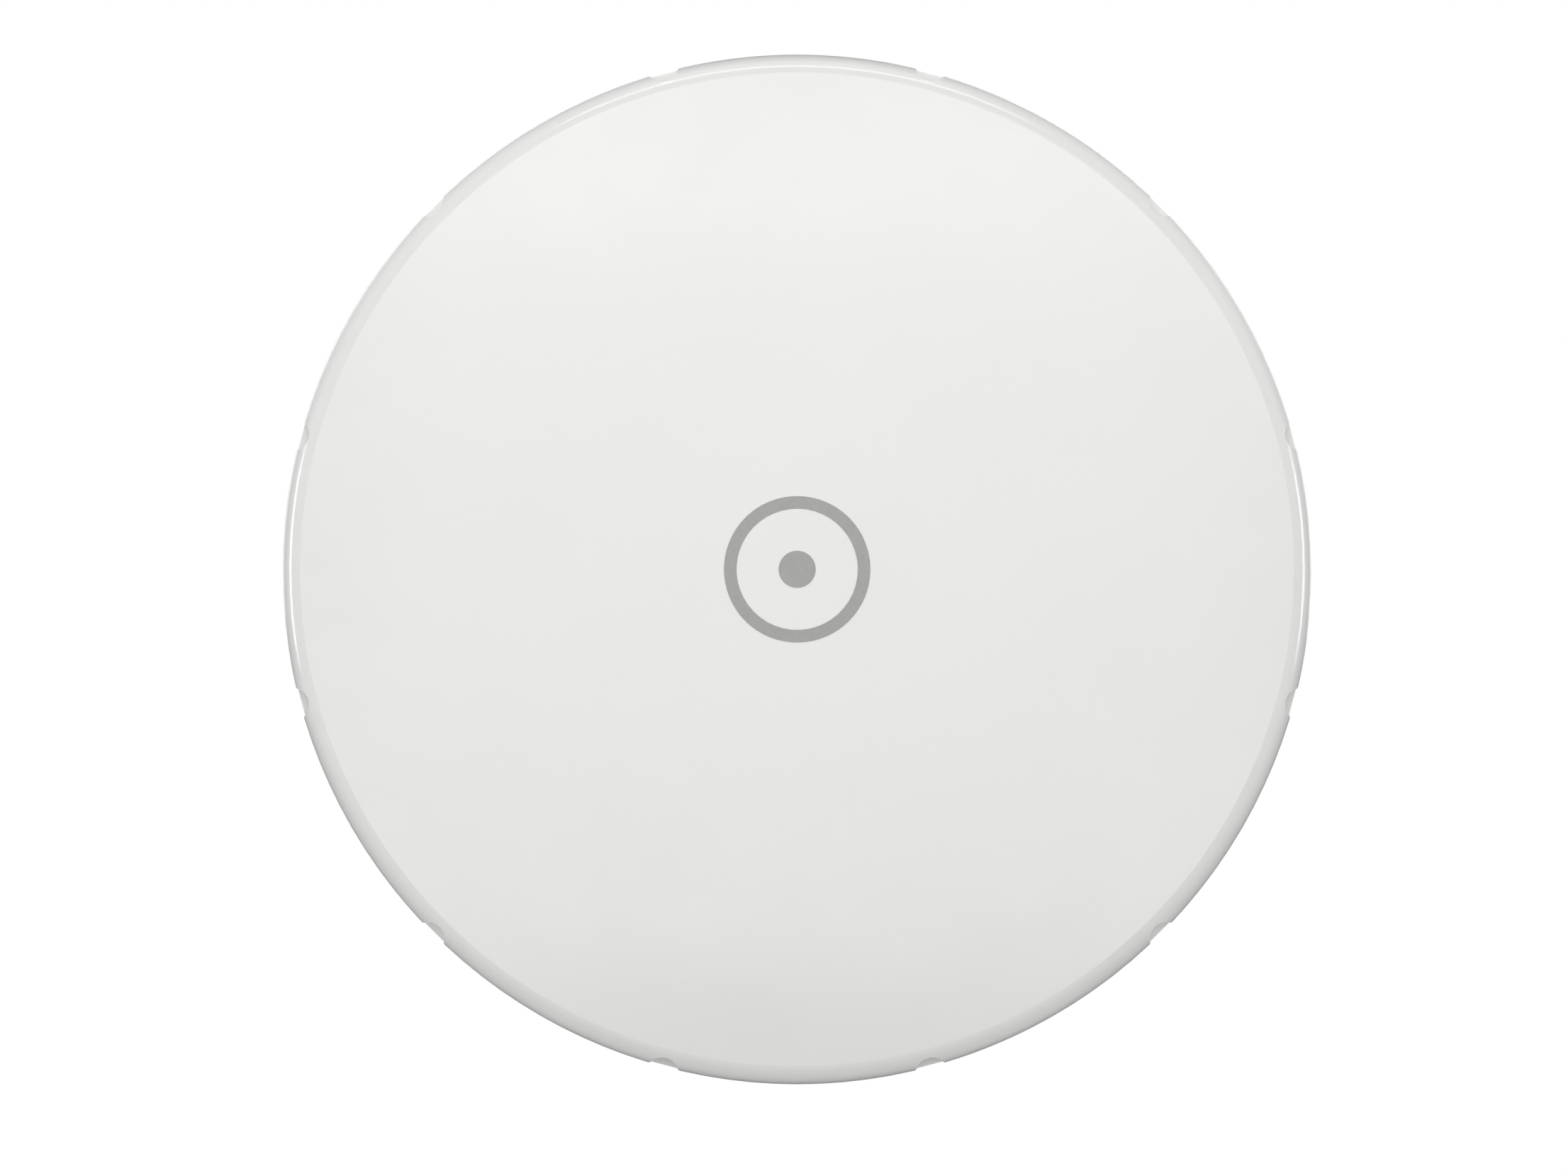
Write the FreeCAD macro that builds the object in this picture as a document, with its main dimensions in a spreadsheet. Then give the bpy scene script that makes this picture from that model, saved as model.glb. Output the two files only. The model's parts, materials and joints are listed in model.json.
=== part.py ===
"""Outdoor wireless bridge: a round dish radio on a tilting mast bracket.

The radio faces -Y, +Z is up along the mast, and the origin is on the mast's axis, midway
between the two band clamps. Every size is in millimetres.
"""
import FreeCAD, Part
import math
import os
from types import SimpleNamespace

import Sketcher
from FreeCAD import Placement, Rotation, Vector

# ---------------------------------------------------------------- driving dimensions

CELLS = [
    # mast and band clamps
    ("mast_r", 21.0, "radius of the mast that the bands are closed on"),
    ("band_t", 0.8, "thickness of a clamp band"),
    ("band_w", 12.0, "width of a clamp band"),
    ("band_z", 20.0, "height of each band above and below the origin"),
    ("band_corner", 18.5, "where the band starts to turn behind the web"),
    ("band_bend", 2.5, "inner radius of the band's front corners"),
    ("worm_r", 3.7, "crest radius of the worm screw"),
    ("worm_len", 17.0, "length of the worm thread"),
    ("worm_lift", 4.8, "worm axis above the band's inner surface"),
    ("worm_pitch", 2.0, "pitch of the worm"),
    ("housing_half", 7.5, "half length of a clamp housing"),
    ("housing_side", 6.9, "half width of a clamp housing along the mast"),
    ("housing_front", 19.6, "front edge of a clamp housing"),
    ("barrel_r", 5.2, "outer radius of a clamp housing's barrel"),
    ("worm_flange_r", 5.0, "radius of the worm screw's flange"),
    ("worm_flange_t", 0.8, "thickness of the worm screw's flange"),
    # brackets
    ("plate_t", 2.5, "sheet thickness of both brackets"),
    ("web_y", -30.0, "rear face of the mast bracket's web"),
    ("web_half", 28.0, "half width of the mast bracket"),
    ("bracket_half", 35.0, "half height of the mast bracket"),
    ("jaw_half", 24.0, "half width of the toothed jaws"),
    ("jaw_end_y", -9.0, "rear end of the toothed jaws"),
    ("tooth_pitch", 3.0, "pitch of the jaw teeth"),
    ("tooth_depth", 1.1, "depth of the jaw teeth"),
    ("pivot_y", -45.0, "pivot and lock bolts, distance in front of the mast axis"),
    ("pivot_z", 11.0, "height of the tilt pivot"),
    ("lock_radius", 22.0, "pivot to lock bolt"),
    ("bolt_r", 3.0, "M6 bolt radius"),
    ("hex_flats", 10.0, "M6 hexagons, across flats"),
    ("bolt_head_t", 4.0, "height of an M6 bolt head"),
    ("nut_t", 5.0, "height of a lock nut's hexagon"),
    ("nut_collar_t", 6.2, "height of a lock nut with its collar"),
    ("nut_collar_r", 4.6, "radius of a lock nut's collar"),
    ("washer_r", 6.2, "outer radius of an M6 washer"),
    ("washer_t", 1.2, "thickness of an M6 washer"),
    ("spacer_r", 5.0, "outer radius of a spacer tube"),
    ("ear_low", -24.0, "lower end of the mast bracket's ears at the web"),
    ("ear_high", 26.0, "upper end of the mast bracket's ears at the web"),
    ("ear_pivot_r", 8.0, "radius of the mast bracket's ear round the pivot"),
    ("ear_lock_r", 7.5, "radius of the mast bracket's ear round the lock bolt"),
    ("slot_half", 3.3, "half width of the arc slot"),
    ("slot_sweep", 22.0, "arc slot, degrees each side of the lock bolt"),
    ("ear_gap", 0.3, "gap between the ears of the two brackets"),
    ("base_y", -61.0, "rear face of the tilt bracket's base plate"),
    ("base_half_z", 28.0, "half height of the tilt bracket's base plate"),
    ("screw_x", 19.0, "bracket screws, half spacing across"),
    ("screw_z", 20.0, "bracket screws, half spacing up"),
    ("pivot_boss_r", 9.5, "radius of the tilt bracket's ear round the pivot"),
    ("slot_skirt", 8.0, "metal outside the arc slot"),
    # antenna head
    ("flange_y", -119.5, "front face of the rear housing's flange"),
    ("cover_r", 95.0, "outer radius of the front cover"),
    ("skirt_top", 3.6, "height of the cover's straight skirt"),
    ("rim_round", 4.3, "rounding between skirt and dome"),
    ("dome_slope", 10.0, "slope of the dome where it meets the rim, degrees"),
    ("cover_wall", 2.2, "thickness of the dome"),
    ("skirt_wall", 3.2, "thickness of the skirt"),
    ("notch_r", 2.87, "radius of each rim notch"),
    ("notch_depth", 1.9, "depth of each rim notch"),
    ("notch_round", 0.75, "rounding of the notch's corners"),
    ("flange_r", 94.9, "outer radius of the rear housing's flange"),
    ("flange_t", 2.5, "thickness of the flange"),
    ("spigot_r", 91.5, "outer radius of the locating ring"),
    ("spigot_t", 1.9, "thickness of the locating ring"),
    ("spigot_h", 3.2, "height of the locating ring"),
    ("bowl_r", 87.0, "outer radius of the bowl at the flange"),
    ("bowl_back_r", 38.0, "radius of the bowl's flat back"),
    ("bowl_depth", 36.0, "depth of the bowl behind the flange face"),
    ("bowl_wall", 2.4, "wall of the bowl"),
    ("ledge_r", 82.0, "inner radius of the reflector's ledge"),
    ("dish_r", 80.0, "radius of the reflector's mouth"),
    ("dish_focus", 48.0, "focal length of the reflector"),
    ("dish_t", 1.0, "sheet thickness of the reflector"),
    ("dish_rim_r", 86.0, "outer radius of the reflector's rim"),
    ("dish_hole_r", 10.5, "hole at the reflector's vertex"),
    ("rim_screw_r", 84.0, "radius of the reflector screws' circle"),
    ("barb_w", 10.0, "width of each snap barb"),
    ("barb_clear", 0.6, "play each side of a snap barb"),
    ("gasket_t", 2.0, "thickness of the radome gasket"),
    ("gasket_in", 86.8, "inner radius of the radome gasket"),
    ("gasket_out", 89.2, "outer radius of the radome gasket"),
    ("mark_r", 13.4, "outer radius of the boresight ring"),
    ("mark_w", 2.3, "width of the boresight ring"),
    ("mark_dot_r", 3.4, "radius of the boresight dot"),
    ("mark_sunk", 0.15, "depth of the mark's seat"),
    ("mark_proud", 0.05, "height of the mark above the dome"),
    ("rib_t", 1.8, "thickness of the bowl's ribs"),
    ("rib_h", 3.0, "height of the bowl's ribs"),
    ("feed_seat", 35.8, "depth of the feed tube's foot"),
    ("feed_mouth", 8.0, "depth of the feed tube's mouth"),
    ("feed_r", 5.0, "outer radius of the feed tube"),
    ("guide_r", 1.9, "bore radius of the feed tube"),
    ("cone_top", 8.3, "height of the subreflector's seat"),
    ("cone_r", 12.5, "radius of the feed cone's top"),
    # electronics housing on the back of the bowl
    ("spine_half", 37.0, "half width of the electronics housing"),
    ("spine_top", 46.0, "top of the electronics housing"),
    ("spine_low", -82.0, "bottom of the electronics housing"),
    ("spine_corner", 14.0, "corner radius of the electronics housing"),
    ("spine_wall", 2.6, "side wall of the electronics housing"),
    ("seam", 40.0, "depth of the seam between housing and electronics cover"),
    ("seam_inset", 0.9, "seam gasket, distance in from the box's outline"),
    ("seam_gasket_w", 1.0, "width of the seam gasket"),
    ("seam_gasket_t", 0.8, "thickness of the seam gasket"),
    ("head_depth", 56.0, "depth of the electronics cover's back face"),
    ("back_wall", 3.2, "back wall of the electronics cover"),
    ("back_round", 2.0, "rounding round the back face"),
    ("board_t", 1.6, "thickness of the main board"),
    ("board_depth", 37.0, "depth of the main board's front face"),
    ("board_half", 31.0, "half width of the main board"),
    ("board_top", 42.0, "top edge of the main board"),
    ("board_low", -56.0, "bottom edge of the main board"),
    ("led_z", 36.5, "height of the row of status lights"),
    ("led_pitch", 4.0, "pitch of the status lights"),
    ("boss_r", 3.8, "radius of the cover screws' bosses"),
    ("pilot_r", 1.2, "radius of the cover screws' pilot holes"),
    ("pilot_depth", 9.0, "depth of the cover screws' pilot holes"),
    ("boss_depth", 27.0, "depth at which the cover screws' bosses start"),
    ("screw_clear_r", 1.6, "radius of the cover screws' clearance holes"),
    ("screw_seat_r", 3.2, "radius of the cover screws' counterbores"),
    ("screw_seat_depth", 2.2, "depth of the cover screws' counterbores"),
    ("post_r", 2.6, "radius of the board's posts"),
    ("insert_r", 2.9, "outer radius of a brass insert"),
    ("insert_bore_r", 2.0, "bore radius of a brass insert"),
    ("insert_len", 8.0, "length of a brass insert"),
    ("insert_boss_r", 4.6, "radius of the boss round a brass insert"),
    ("insert_boss_h", 7.0, "height of the boss round a brass insert"),
    ("jack_half", 8.0, "half width of the cable socket"),
    ("jack_h", 13.4, "height of the cable socket"),
    ("jack_top", -37.0, "upper end of the cable socket"),
    ("jack_face", -53.0, "mouth of the cable socket"),
    ("reset_x", 15.0, "reset button, distance to the right"),
    ("reset_z", -52.5, "reset button, height"),
    ("reset_h", 3.4, "height of the reset switch's base"),
    ("reset_travel", 0.5, "travel of the reset button"),
    # service door
    ("door_half", 22.5, "half width of the service door"),
    ("door_t", 2.8, "thickness of the service door"),
    ("hinge_z", -45.0, "height of the door hinge"),
    ("hinge_up", 1.2, "hinge axis above the back face"),
    ("knuckle_r", 2.4, "radius of the hinge knuckles"),
    ("pin_r", 1.0, "radius of the hinge pin"),
    ("pin_play", 0.05, "radial play on a hinge pin or bolt that turns"),
    ("recess_depth", 1.6, "depth of the door's recess"),
    ("door_low", -79.0, "bottom edge of the service door"),
    ("cable_depth", 47.0, "depth of the cable outlet's axis"),
    ("grommet_r", 5.2, "radius of the hole for the grommet"),
    ("cable_r", 3.2, "radius of the cable hole in the grommet"),
]


class Dim:
    """A size that knows both its number and the spreadsheet formula that gives it."""

    def __init__(self, value, text):
        self.value = float(value)
        self.text = text

    def __add__(self, other):
        other = dim(other)
        return Dim(self.value + other.value, f"({self.text} + {other.text})")

    def __sub__(self, other):
        other = dim(other)
        return Dim(self.value - other.value, f"({self.text} - {other.text})")

    def __mul__(self, other):
        other = dim(other)
        return Dim(self.value * other.value, f"({self.text} * {other.text})")

    def __truediv__(self, other):
        other = dim(other)
        return Dim(self.value / other.value, f"({self.text} / {other.text})")

    def __neg__(self):
        return Dim(-self.value, f"(-1 * {self.text})")

    def __radd__(self, other):
        return dim(other) + self

    def __rsub__(self, other):
        return dim(other) - self

    def __rmul__(self, other):
        return dim(other) * self


def dim(value):
    return value if isinstance(value, Dim) else Dim(value, f"({float(value)!r})")


def root(value):
    return Dim(math.sqrt(value.value), f"sqrt({value.text})")


def sine(angle):
    return Dim(math.sin(math.radians(dim(angle).value)), f"sin({dim(angle).text})")


def cosine(angle):
    return Dim(math.cos(math.radians(dim(angle).value)), f"cos({dim(angle).text})")


doc = FreeCAD.newDocument("outdoor_wireless_bridge")
sheet = doc.addObject("Spreadsheet::Sheet", "Sheet")
for row, (alias, number, note) in enumerate(CELLS, start=1):
    sheet.set(f"A{row}", note)
    sheet.set(f"B{row}", str(number))
    sheet.setAlias(f"B{row}", alias)
doc.recompute()
d = SimpleNamespace(**{alias: Dim(number, f"Sheet.{alias}") for alias, number, _ in CELLS})
exports = []


def behind(depth):
    """Row-frame y of a plane that lies depth behind the housing's flange face."""
    return d.flange_y + depth


# ---------------------------------------------------------------- document helpers


def bind(obj, prop, value):
    """Sets a property from a size, and keeps it tied to the spreadsheet."""
    obj.setExpression(prop, dim(value).text)


def place(obj, x, y, z):
    for name, value in (("x", x), ("y", y), ("z", z)):
        bind(obj, f"Placement.Base.{name}", value)


def export_as(obj, label):
    """Names a finished sub-part. Its label names its file."""
    obj.Label = label
    exports.append(obj)
    return obj


def new_body(name):
    return doc.addObject("PartDesign::Body", name)


def origin_feature(body, role):
    return next(f for f in body.Origin.OriginFeatures if f.Role == role)


def new_sketch(body, plane, at=0, turned_by=0):
    """A sketch on one of the body's origin planes, moved to a row-frame coordinate.

    On XY it reads (x, y), on XZ (x, z) and on YZ (y, z).
    """
    sketch = body.newObject("Sketcher::SketchObject", "Sketch")
    sketch.AttachmentSupport = (origin_feature(body, plane), [""])
    sketch.MapMode = "FlatFace"
    if turned_by:
        sketch.AttachmentOffset = Placement(Vector(), Rotation(Vector(0, 0, 1), turned_by))
    along_normal = -dim(at) if plane == "XZ_Plane" else dim(at)
    bind(sketch, ".AttachmentOffset.Base.z", along_normal)
    return sketch


def free_sketch(name):
    """A sketch outside any body, for a turned piece: (radius, distance along the axis)."""
    return doc.addObject("Sketcher::SketchObject", name)


def pin_point(sketch, geometry, position, x, y):
    """Ties one point of the sketch to a formula in each direction."""
    for kind, value, axis in (("DistanceX", dim(x), -2), ("DistanceY", dim(y), -1)):
        if abs(value.value) < 1e-9:
            sketch.addConstraint(Sketcher.Constraint("PointOnObject", geometry, position, axis))
            continue
        rule = Sketcher.Constraint(kind, -1, 1, geometry, position, value.value)
        number = sketch.addConstraint(rule)
        sketch.setExpression(f"Constraints[{number}]", value.text)


def arc_between(start, end, radius, leftward):
    """The short arc from start to end that turns left or right."""
    middle = (start + end) * 0.5
    chord = end - start
    side = Vector(-chord.y, chord.x, 0).normalize()
    reach = math.sqrt(max(radius * radius - chord.Length * chord.Length / 4, 0.0))
    centre = middle + side * (reach if leftward else -reach)
    first, last = (start, end) if leftward else (end, start)
    angles = [math.atan2(p.y - centre.y, p.x - centre.x) for p in (first, last)]
    return Part.ArcOfCircle(Part.Circle(centre, Vector(0, 0, 1), radius), *angles)


def outline(sketch, points, arcs=None):
    """A closed loop through the points. arcs gives the radius of the arc that leaves a point:
    positive turns left, negative turns right, and "half" is a half circle that turns left."""
    arcs = arcs or {}
    begin = sketch.GeometryCount
    count = len(points)
    spots = [Vector(dim(x).value, dim(y).value, 0) for x, y in points]
    ends = []
    for i, spot in enumerate(spots):
        after = spots[(i + 1) % count]
        bend = arcs.get(i)
        if bend is None:
            sketch.addGeometry(Part.LineSegment(spot, after))
            ends.append((1, 2))
            continue
        half = isinstance(bend, str)
        leftward = half or dim(bend).value > 0
        radius = (after - spot).Length / 2 if half else abs(dim(bend).value)
        sketch.addGeometry(arc_between(spot, after, radius, leftward))
        ends.append((1, 2) if leftward else (2, 1))
    for i in range(count):
        follower = (i + 1) % count
        joined = (begin + i, ends[i][1], begin + follower, ends[follower][0])
        sketch.addConstraint(Sketcher.Constraint("Coincident", *joined))
    for i, (x, y) in enumerate(points):
        pin_point(sketch, begin + i, ends[i][0], x, y)
    for i, bend in arcs.items():
        if isinstance(bend, str):
            hold_half_circle(sketch, begin + i, points[i], points[(i + 1) % count])
            continue
        size = bend if dim(bend).value > 0 else -dim(bend)
        number = sketch.addConstraint(Sketcher.Constraint("Radius", begin + i, dim(size).value))
        sketch.setExpression(f"Constraints[{number}]", dim(size).text)


def hold_half_circle(sketch, geometry, start, end):
    """Puts the centre of a half circle midway between its ends."""
    across = [dim(end[k]) - start[k] for k in (0, 1)]
    k = 0 if abs(across[1].value) > abs(across[0].value) else 1
    middle = (dim(start[k]) + end[k]) / 2
    if abs(middle.value) < 1e-9:
        rule = Sketcher.Constraint("PointOnObject", geometry, 3, -2 if k == 0 else -1)
        sketch.addConstraint(rule)
        return
    kind = ("DistanceX", "DistanceY")[k]
    number = sketch.addConstraint(Sketcher.Constraint(kind, -1, 1, geometry, 3, middle.value))
    sketch.setExpression(f"Constraints[{number}]", middle.text)


def circle(sketch, x, y, radius):
    centre = Vector(dim(x).value, dim(y).value, 0)
    index = sketch.addGeometry(Part.Circle(centre, Vector(0, 0, 1), dim(radius).value))
    number = sketch.addConstraint(Sketcher.Constraint("Radius", index, dim(radius).value))
    sketch.setExpression(f"Constraints[{number}]", dim(radius).text)
    pin_point(sketch, index, 3, x, y)


def rectangle(sketch, low_x, high_x, low_y, high_y):
    outline(sketch, [(low_x, low_y), (high_x, low_y), (high_x, high_y), (low_x, high_y)])


def rounded_rectangle(sketch, low_x, high_x, low_y, high_y, radius):
    radius = dim(radius)
    points = [
        (low_x + radius, low_y), (high_x - radius, low_y),
        (high_x, low_y + radius), (high_x, high_y - radius),
        (high_x - radius, high_y), (low_x + radius, high_y),
        (low_x, high_y - radius), (low_x, low_y + radius),
    ]
    outline(sketch, points, {1: radius, 3: radius, 5: radius, 7: radius})


def pad(body, sketch, length, both_ways=False, backward=False):
    feature = body.newObject("PartDesign::Pad", "Pad")
    feature.Profile = sketch
    feature.Midplane = both_ways
    feature.Reversed = backward
    bind(feature, "Length", length)
    doc.recompute()
    return feature


def pocket(body, sketch, length, both_ways=False, backward=False):
    """A cut along the sketch's normal, or against it. It stops the build if it cuts nothing."""
    before = body.Shape.Volume
    feature = body.newObject("PartDesign::Pocket", "Pocket")
    feature.Profile = sketch
    feature.Midplane = both_ways
    feature.Reversed = not backward
    bind(feature, "Length", length)
    doc.recompute()
    if body.Shape.Volume > before - 1e-3:
        raise RuntimeError(f"{body.Name}: {feature.Name} cuts nothing")
    return feature


def revolve(body, sketch, kind="Revolution", axis="V_Axis"):
    feature = body.newObject(f"PartDesign::{kind}", kind)
    feature.Profile = sketch
    feature.ReferenceAxis = (sketch, [axis])
    feature.Angle = 360
    doc.recompute()
    return feature


def polar(body, feature, count, axis="Y_Axis"):
    pattern = body.newObject("PartDesign::PolarPattern", "PolarPattern")
    pattern.Originals = [feature]
    pattern.Axis = (origin_feature(body, axis), [""])
    pattern.Angle = 360
    pattern.Occurrences = count
    body.Tip = pattern
    doc.recompute()
    return pattern


def mirror(body, features, plane):
    mirrored = body.newObject("PartDesign::Mirrored", "Mirrored")
    mirrored.Originals = features
    mirrored.MirrorPlane = (origin_feature(body, plane), [""])
    body.Tip = mirrored
    doc.recompute()
    return mirrored


def round_edges(body, radius, chosen):
    """Rounds the edges of the body's present shape that the test picks out."""
    base = body.Tip
    names = [f"Edge{i}" for i, edge in enumerate(base.Shape.Edges, start=1) if chosen(edge)]
    feature = body.newObject("PartDesign::Fillet", "Fillet")
    feature.Base = (base, names)
    bind(feature, "Radius", radius)
    doc.recompute()
    return feature


def edge_in_plane(y):
    """Picks edges that lie in a plane across Y."""
    return lambda e: abs(e.BoundBox.YMin - y) < 1e-4 and abs(e.BoundBox.YMax - y) < 1e-4


def box(name, low, high):
    """A block between two corners."""
    block = doc.addObject("Part::Box", name)
    for prop, a, b in zip(("Length", "Width", "Height"), low, high):
        bind(block, prop, dim(b) - a)
    place(block, *low)
    return block


AXIS_TURNS = {
    "X": Rotation(Vector(0, 1, 0), 90),
    "Y": Rotation(Vector(1, 0, 0), -90),
    "Z": Rotation(),
    "-X": Rotation(Vector(0, 1, 0), -90),
    "-Y": Rotation(Vector(1, 0, 0), 90),
    "-Z": Rotation(Vector(1, 0, 0), 180),
}


def rod(name, start, axis, radius, length):
    """A cylinder from start along an axis."""
    cylinder = doc.addObject("Part::Cylinder", name)
    cylinder.Placement = Placement(Vector(), AXIS_TURNS[axis])
    place(cylinder, *start)
    bind(cylinder, "Radius", radius)
    bind(cylinder, "Height", length)
    return cylinder


def prism(name, start, axis, circumradius, length, sides=6):
    solid = doc.addObject("Part::Prism", name)
    solid.Polygon = sides
    solid.Placement = Placement(Vector(), AXIS_TURNS[axis])
    place(solid, *start)
    bind(solid, "Circumradius", circumradius)
    bind(solid, "Height", length)
    return solid


def fused(name, parts):
    union = doc.addObject("Part::MultiFuse", name)
    union.Shapes = parts
    return union


def cut(name, base, tool):
    difference = doc.addObject("Part::Cut", name)
    difference.Base = base
    difference.Tool = tool
    return difference


def grouped(name, parts):
    """Separate solids that share one node."""
    group = doc.addObject("Part::Compound", name)
    group.Links = parts
    return group


def turned(name, sketch, start, axis):
    """A solid of revolution: the sketch's x is the radius and its y runs along the axis."""
    solid = doc.addObject("Part::Revolution", name)
    solid.Source = sketch
    solid.Axis = Vector(0, 1, 0)
    solid.Base = Vector()
    solid.Angle = 360
    solid.Solid = True
    upright = Rotation(Vector(1, 0, 0), 90)
    solid.Placement = Placement(Vector(), AXIS_TURNS[axis].multiply(upright))
    place(solid, *start)
    return solid


def turned_once(name, points, start, axis, arcs=None):
    sketch = free_sketch(f"{name}_profile")
    outline(sketch, points, arcs)
    return turned(name, sketch, start, axis)


# ---------------------------------------------------------------- front cover

NOTCHES = 12
NOTCH_STEP = 360 / NOTCHES
FIRST_NOTCH = NOTCH_STEP / 2

shoulder_r = d.cover_r - d.rim_round * (1 - sine(d.dome_slope))
shoulder_h = d.skirt_top + d.rim_round * cosine(d.dome_slope)
dome_r = shoulder_r / sine(d.dome_slope)
dome_h = shoulder_h + dome_r * (1 - cosine(d.dome_slope))
dome_centre_y = d.flange_y - dome_h + dome_r


def dome_y(radius, inset=0.0):
    """Row-frame y of the dome's outer surface, or of one that lies inset under it."""
    size = dome_r - inset
    return dome_centre_y - root(size * size - dim(radius) * radius)


def radome_cover():
    """Domed front shell with a rounded rim, twelve pry notches and twelve inner snap barbs."""
    body = new_body("RadomeCover")
    skirt_in = d.cover_r - d.skirt_wall
    rib_in, rib_out = d.gasket_in + 0.6, d.gasket_out - 0.6
    barb_reach, barb_low, barb_high = 0.9, 0.9, 2.1
    sketch = new_sketch(body, "XY_Plane")
    points = [
        (0, d.flange_y - dome_h),
        (0, d.flange_y - dome_h + d.cover_wall),
        (rib_in, dome_y(rib_in, d.cover_wall)),
        (rib_in, d.flange_y - d.gasket_t),
        (rib_out, d.flange_y - d.gasket_t),
        (rib_out, d.flange_y - d.gasket_t - 3.4),
        (skirt_in, d.flange_y - d.spigot_h - 0.8),
        (skirt_in, d.flange_y),
        (d.cover_r, d.flange_y),
        (d.cover_r, d.flange_y - d.skirt_top),
        (shoulder_r, d.flange_y - shoulder_h),
    ]
    outline(sketch, points, {1: dome_r - d.cover_wall, 9: -d.rim_round, 10: -dome_r})
    revolve(body, sketch)

    barb = new_sketch(body, "XY_Plane")
    front, back = d.flange_y - barb_high, d.flange_y - barb_low
    rectangle(barb, skirt_in - barb_reach, skirt_in + 1, front, back)
    polar(body, pad(body, barb, d.barb_w, both_ways=True), NOTCHES)

    notch = new_sketch(body, "XZ_Plane", at=d.flange_y, turned_by=FIRST_NOTCH)
    notch_outline(notch)
    polar(body, pocket(body, notch, shoulder_h + 1), NOTCHES)

    for inner, outer in mark_rings():
        groove = new_sketch(body, "XY_Plane")
        mark_profile(groove, inner, outer, d.flange_y - dome_h - 1)
        revolve(body, groove, "Groove")
    return export_as(body, "radome_cover")


def notch_outline(sketch):
    """A round notch whose two corners are eased into the rim."""
    centre = d.cover_r - d.notch_depth + d.notch_r
    easing_at = d.cover_r - d.notch_round
    apart = d.notch_r + d.notch_round
    u = (easing_at * easing_at - apart * apart + centre * centre) / (2 * centre)
    v = root(easing_at * easing_at - u * u)
    on_rim = (u * d.cover_r / easing_at, v * d.cover_r / easing_at)
    on_notch = (centre + (u - centre) * d.notch_r / apart, v * d.notch_r / apart)
    outside = d.cover_r + 3
    points = [
        on_notch,
        (on_notch[0], -on_notch[1]),
        (on_rim[0], -on_rim[1]),
        (outside, -on_rim[1]),
        (outside, on_rim[1]),
        on_rim,
    ]
    outline(sketch, points, {0: d.notch_r, 1: -d.notch_round, 5: -d.notch_round})


def mark_rings():
    return ((0, d.mark_dot_r), (d.mark_r - d.mark_w, d.mark_r))


def mark_profile(sketch, inner, outer, front):
    """Section of one inlaid ring, from a front plane to its seat in the dome."""
    seat = [(r, dome_y(r, d.mark_sunk)) for r in (inner, outer)]
    points = [(inner, front), seat[0], seat[1], (outer, front)]
    outline(sketch, points, {1: dome_r - d.mark_sunk})


def boresight_mark():
    """A thin inlay at the dome's centre: a ring round a dot."""
    body = new_body("BoresightMark")
    for inner, outer in mark_rings():
        sketch = new_sketch(body, "XY_Plane")
        seat = [(r, dome_y(r, d.mark_sunk)) for r in (inner, outer)]
        face = [(r, dome_y(r, -d.mark_proud)) for r in (inner, outer)]
        points = [face[0], seat[0], seat[1], face[1]]
        outline(sketch, points, {1: dome_r - d.mark_sunk, 3: -(dome_r + d.mark_proud)})
        revolve(body, sketch)
    return export_as(body, "boresight_mark")


def radome_gasket():
    """Flat ring between the flange and the rib inside the cover."""
    inner, outer = d.gasket_in, d.gasket_out
    points = [(inner, 0), (outer, 0), (outer, d.gasket_t), (inner, d.gasket_t)]
    ring = turned_once("RadomeGasket", points, (0, d.flange_y, 0), "-Y")
    return export_as(ring, "radome_gasket")


# ---------------------------------------------------------------- rear housing

COVER_SCREW_SPOTS = [(31.6, 33.0), (31.6, -36.0), (30.6, -72.2)]
REFLECTOR_SCREWS = 6


def both_sides(spots):
    return [(side * x, z) for x, z in spots for side in (1, -1)]


def spine_outline(sketch, inset=0.0):
    half = d.spine_half - inset
    corner = d.spine_corner - inset
    rounded_rectangle(sketch, -half, half, d.spine_low + inset, d.spine_top - inset, corner)


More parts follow.
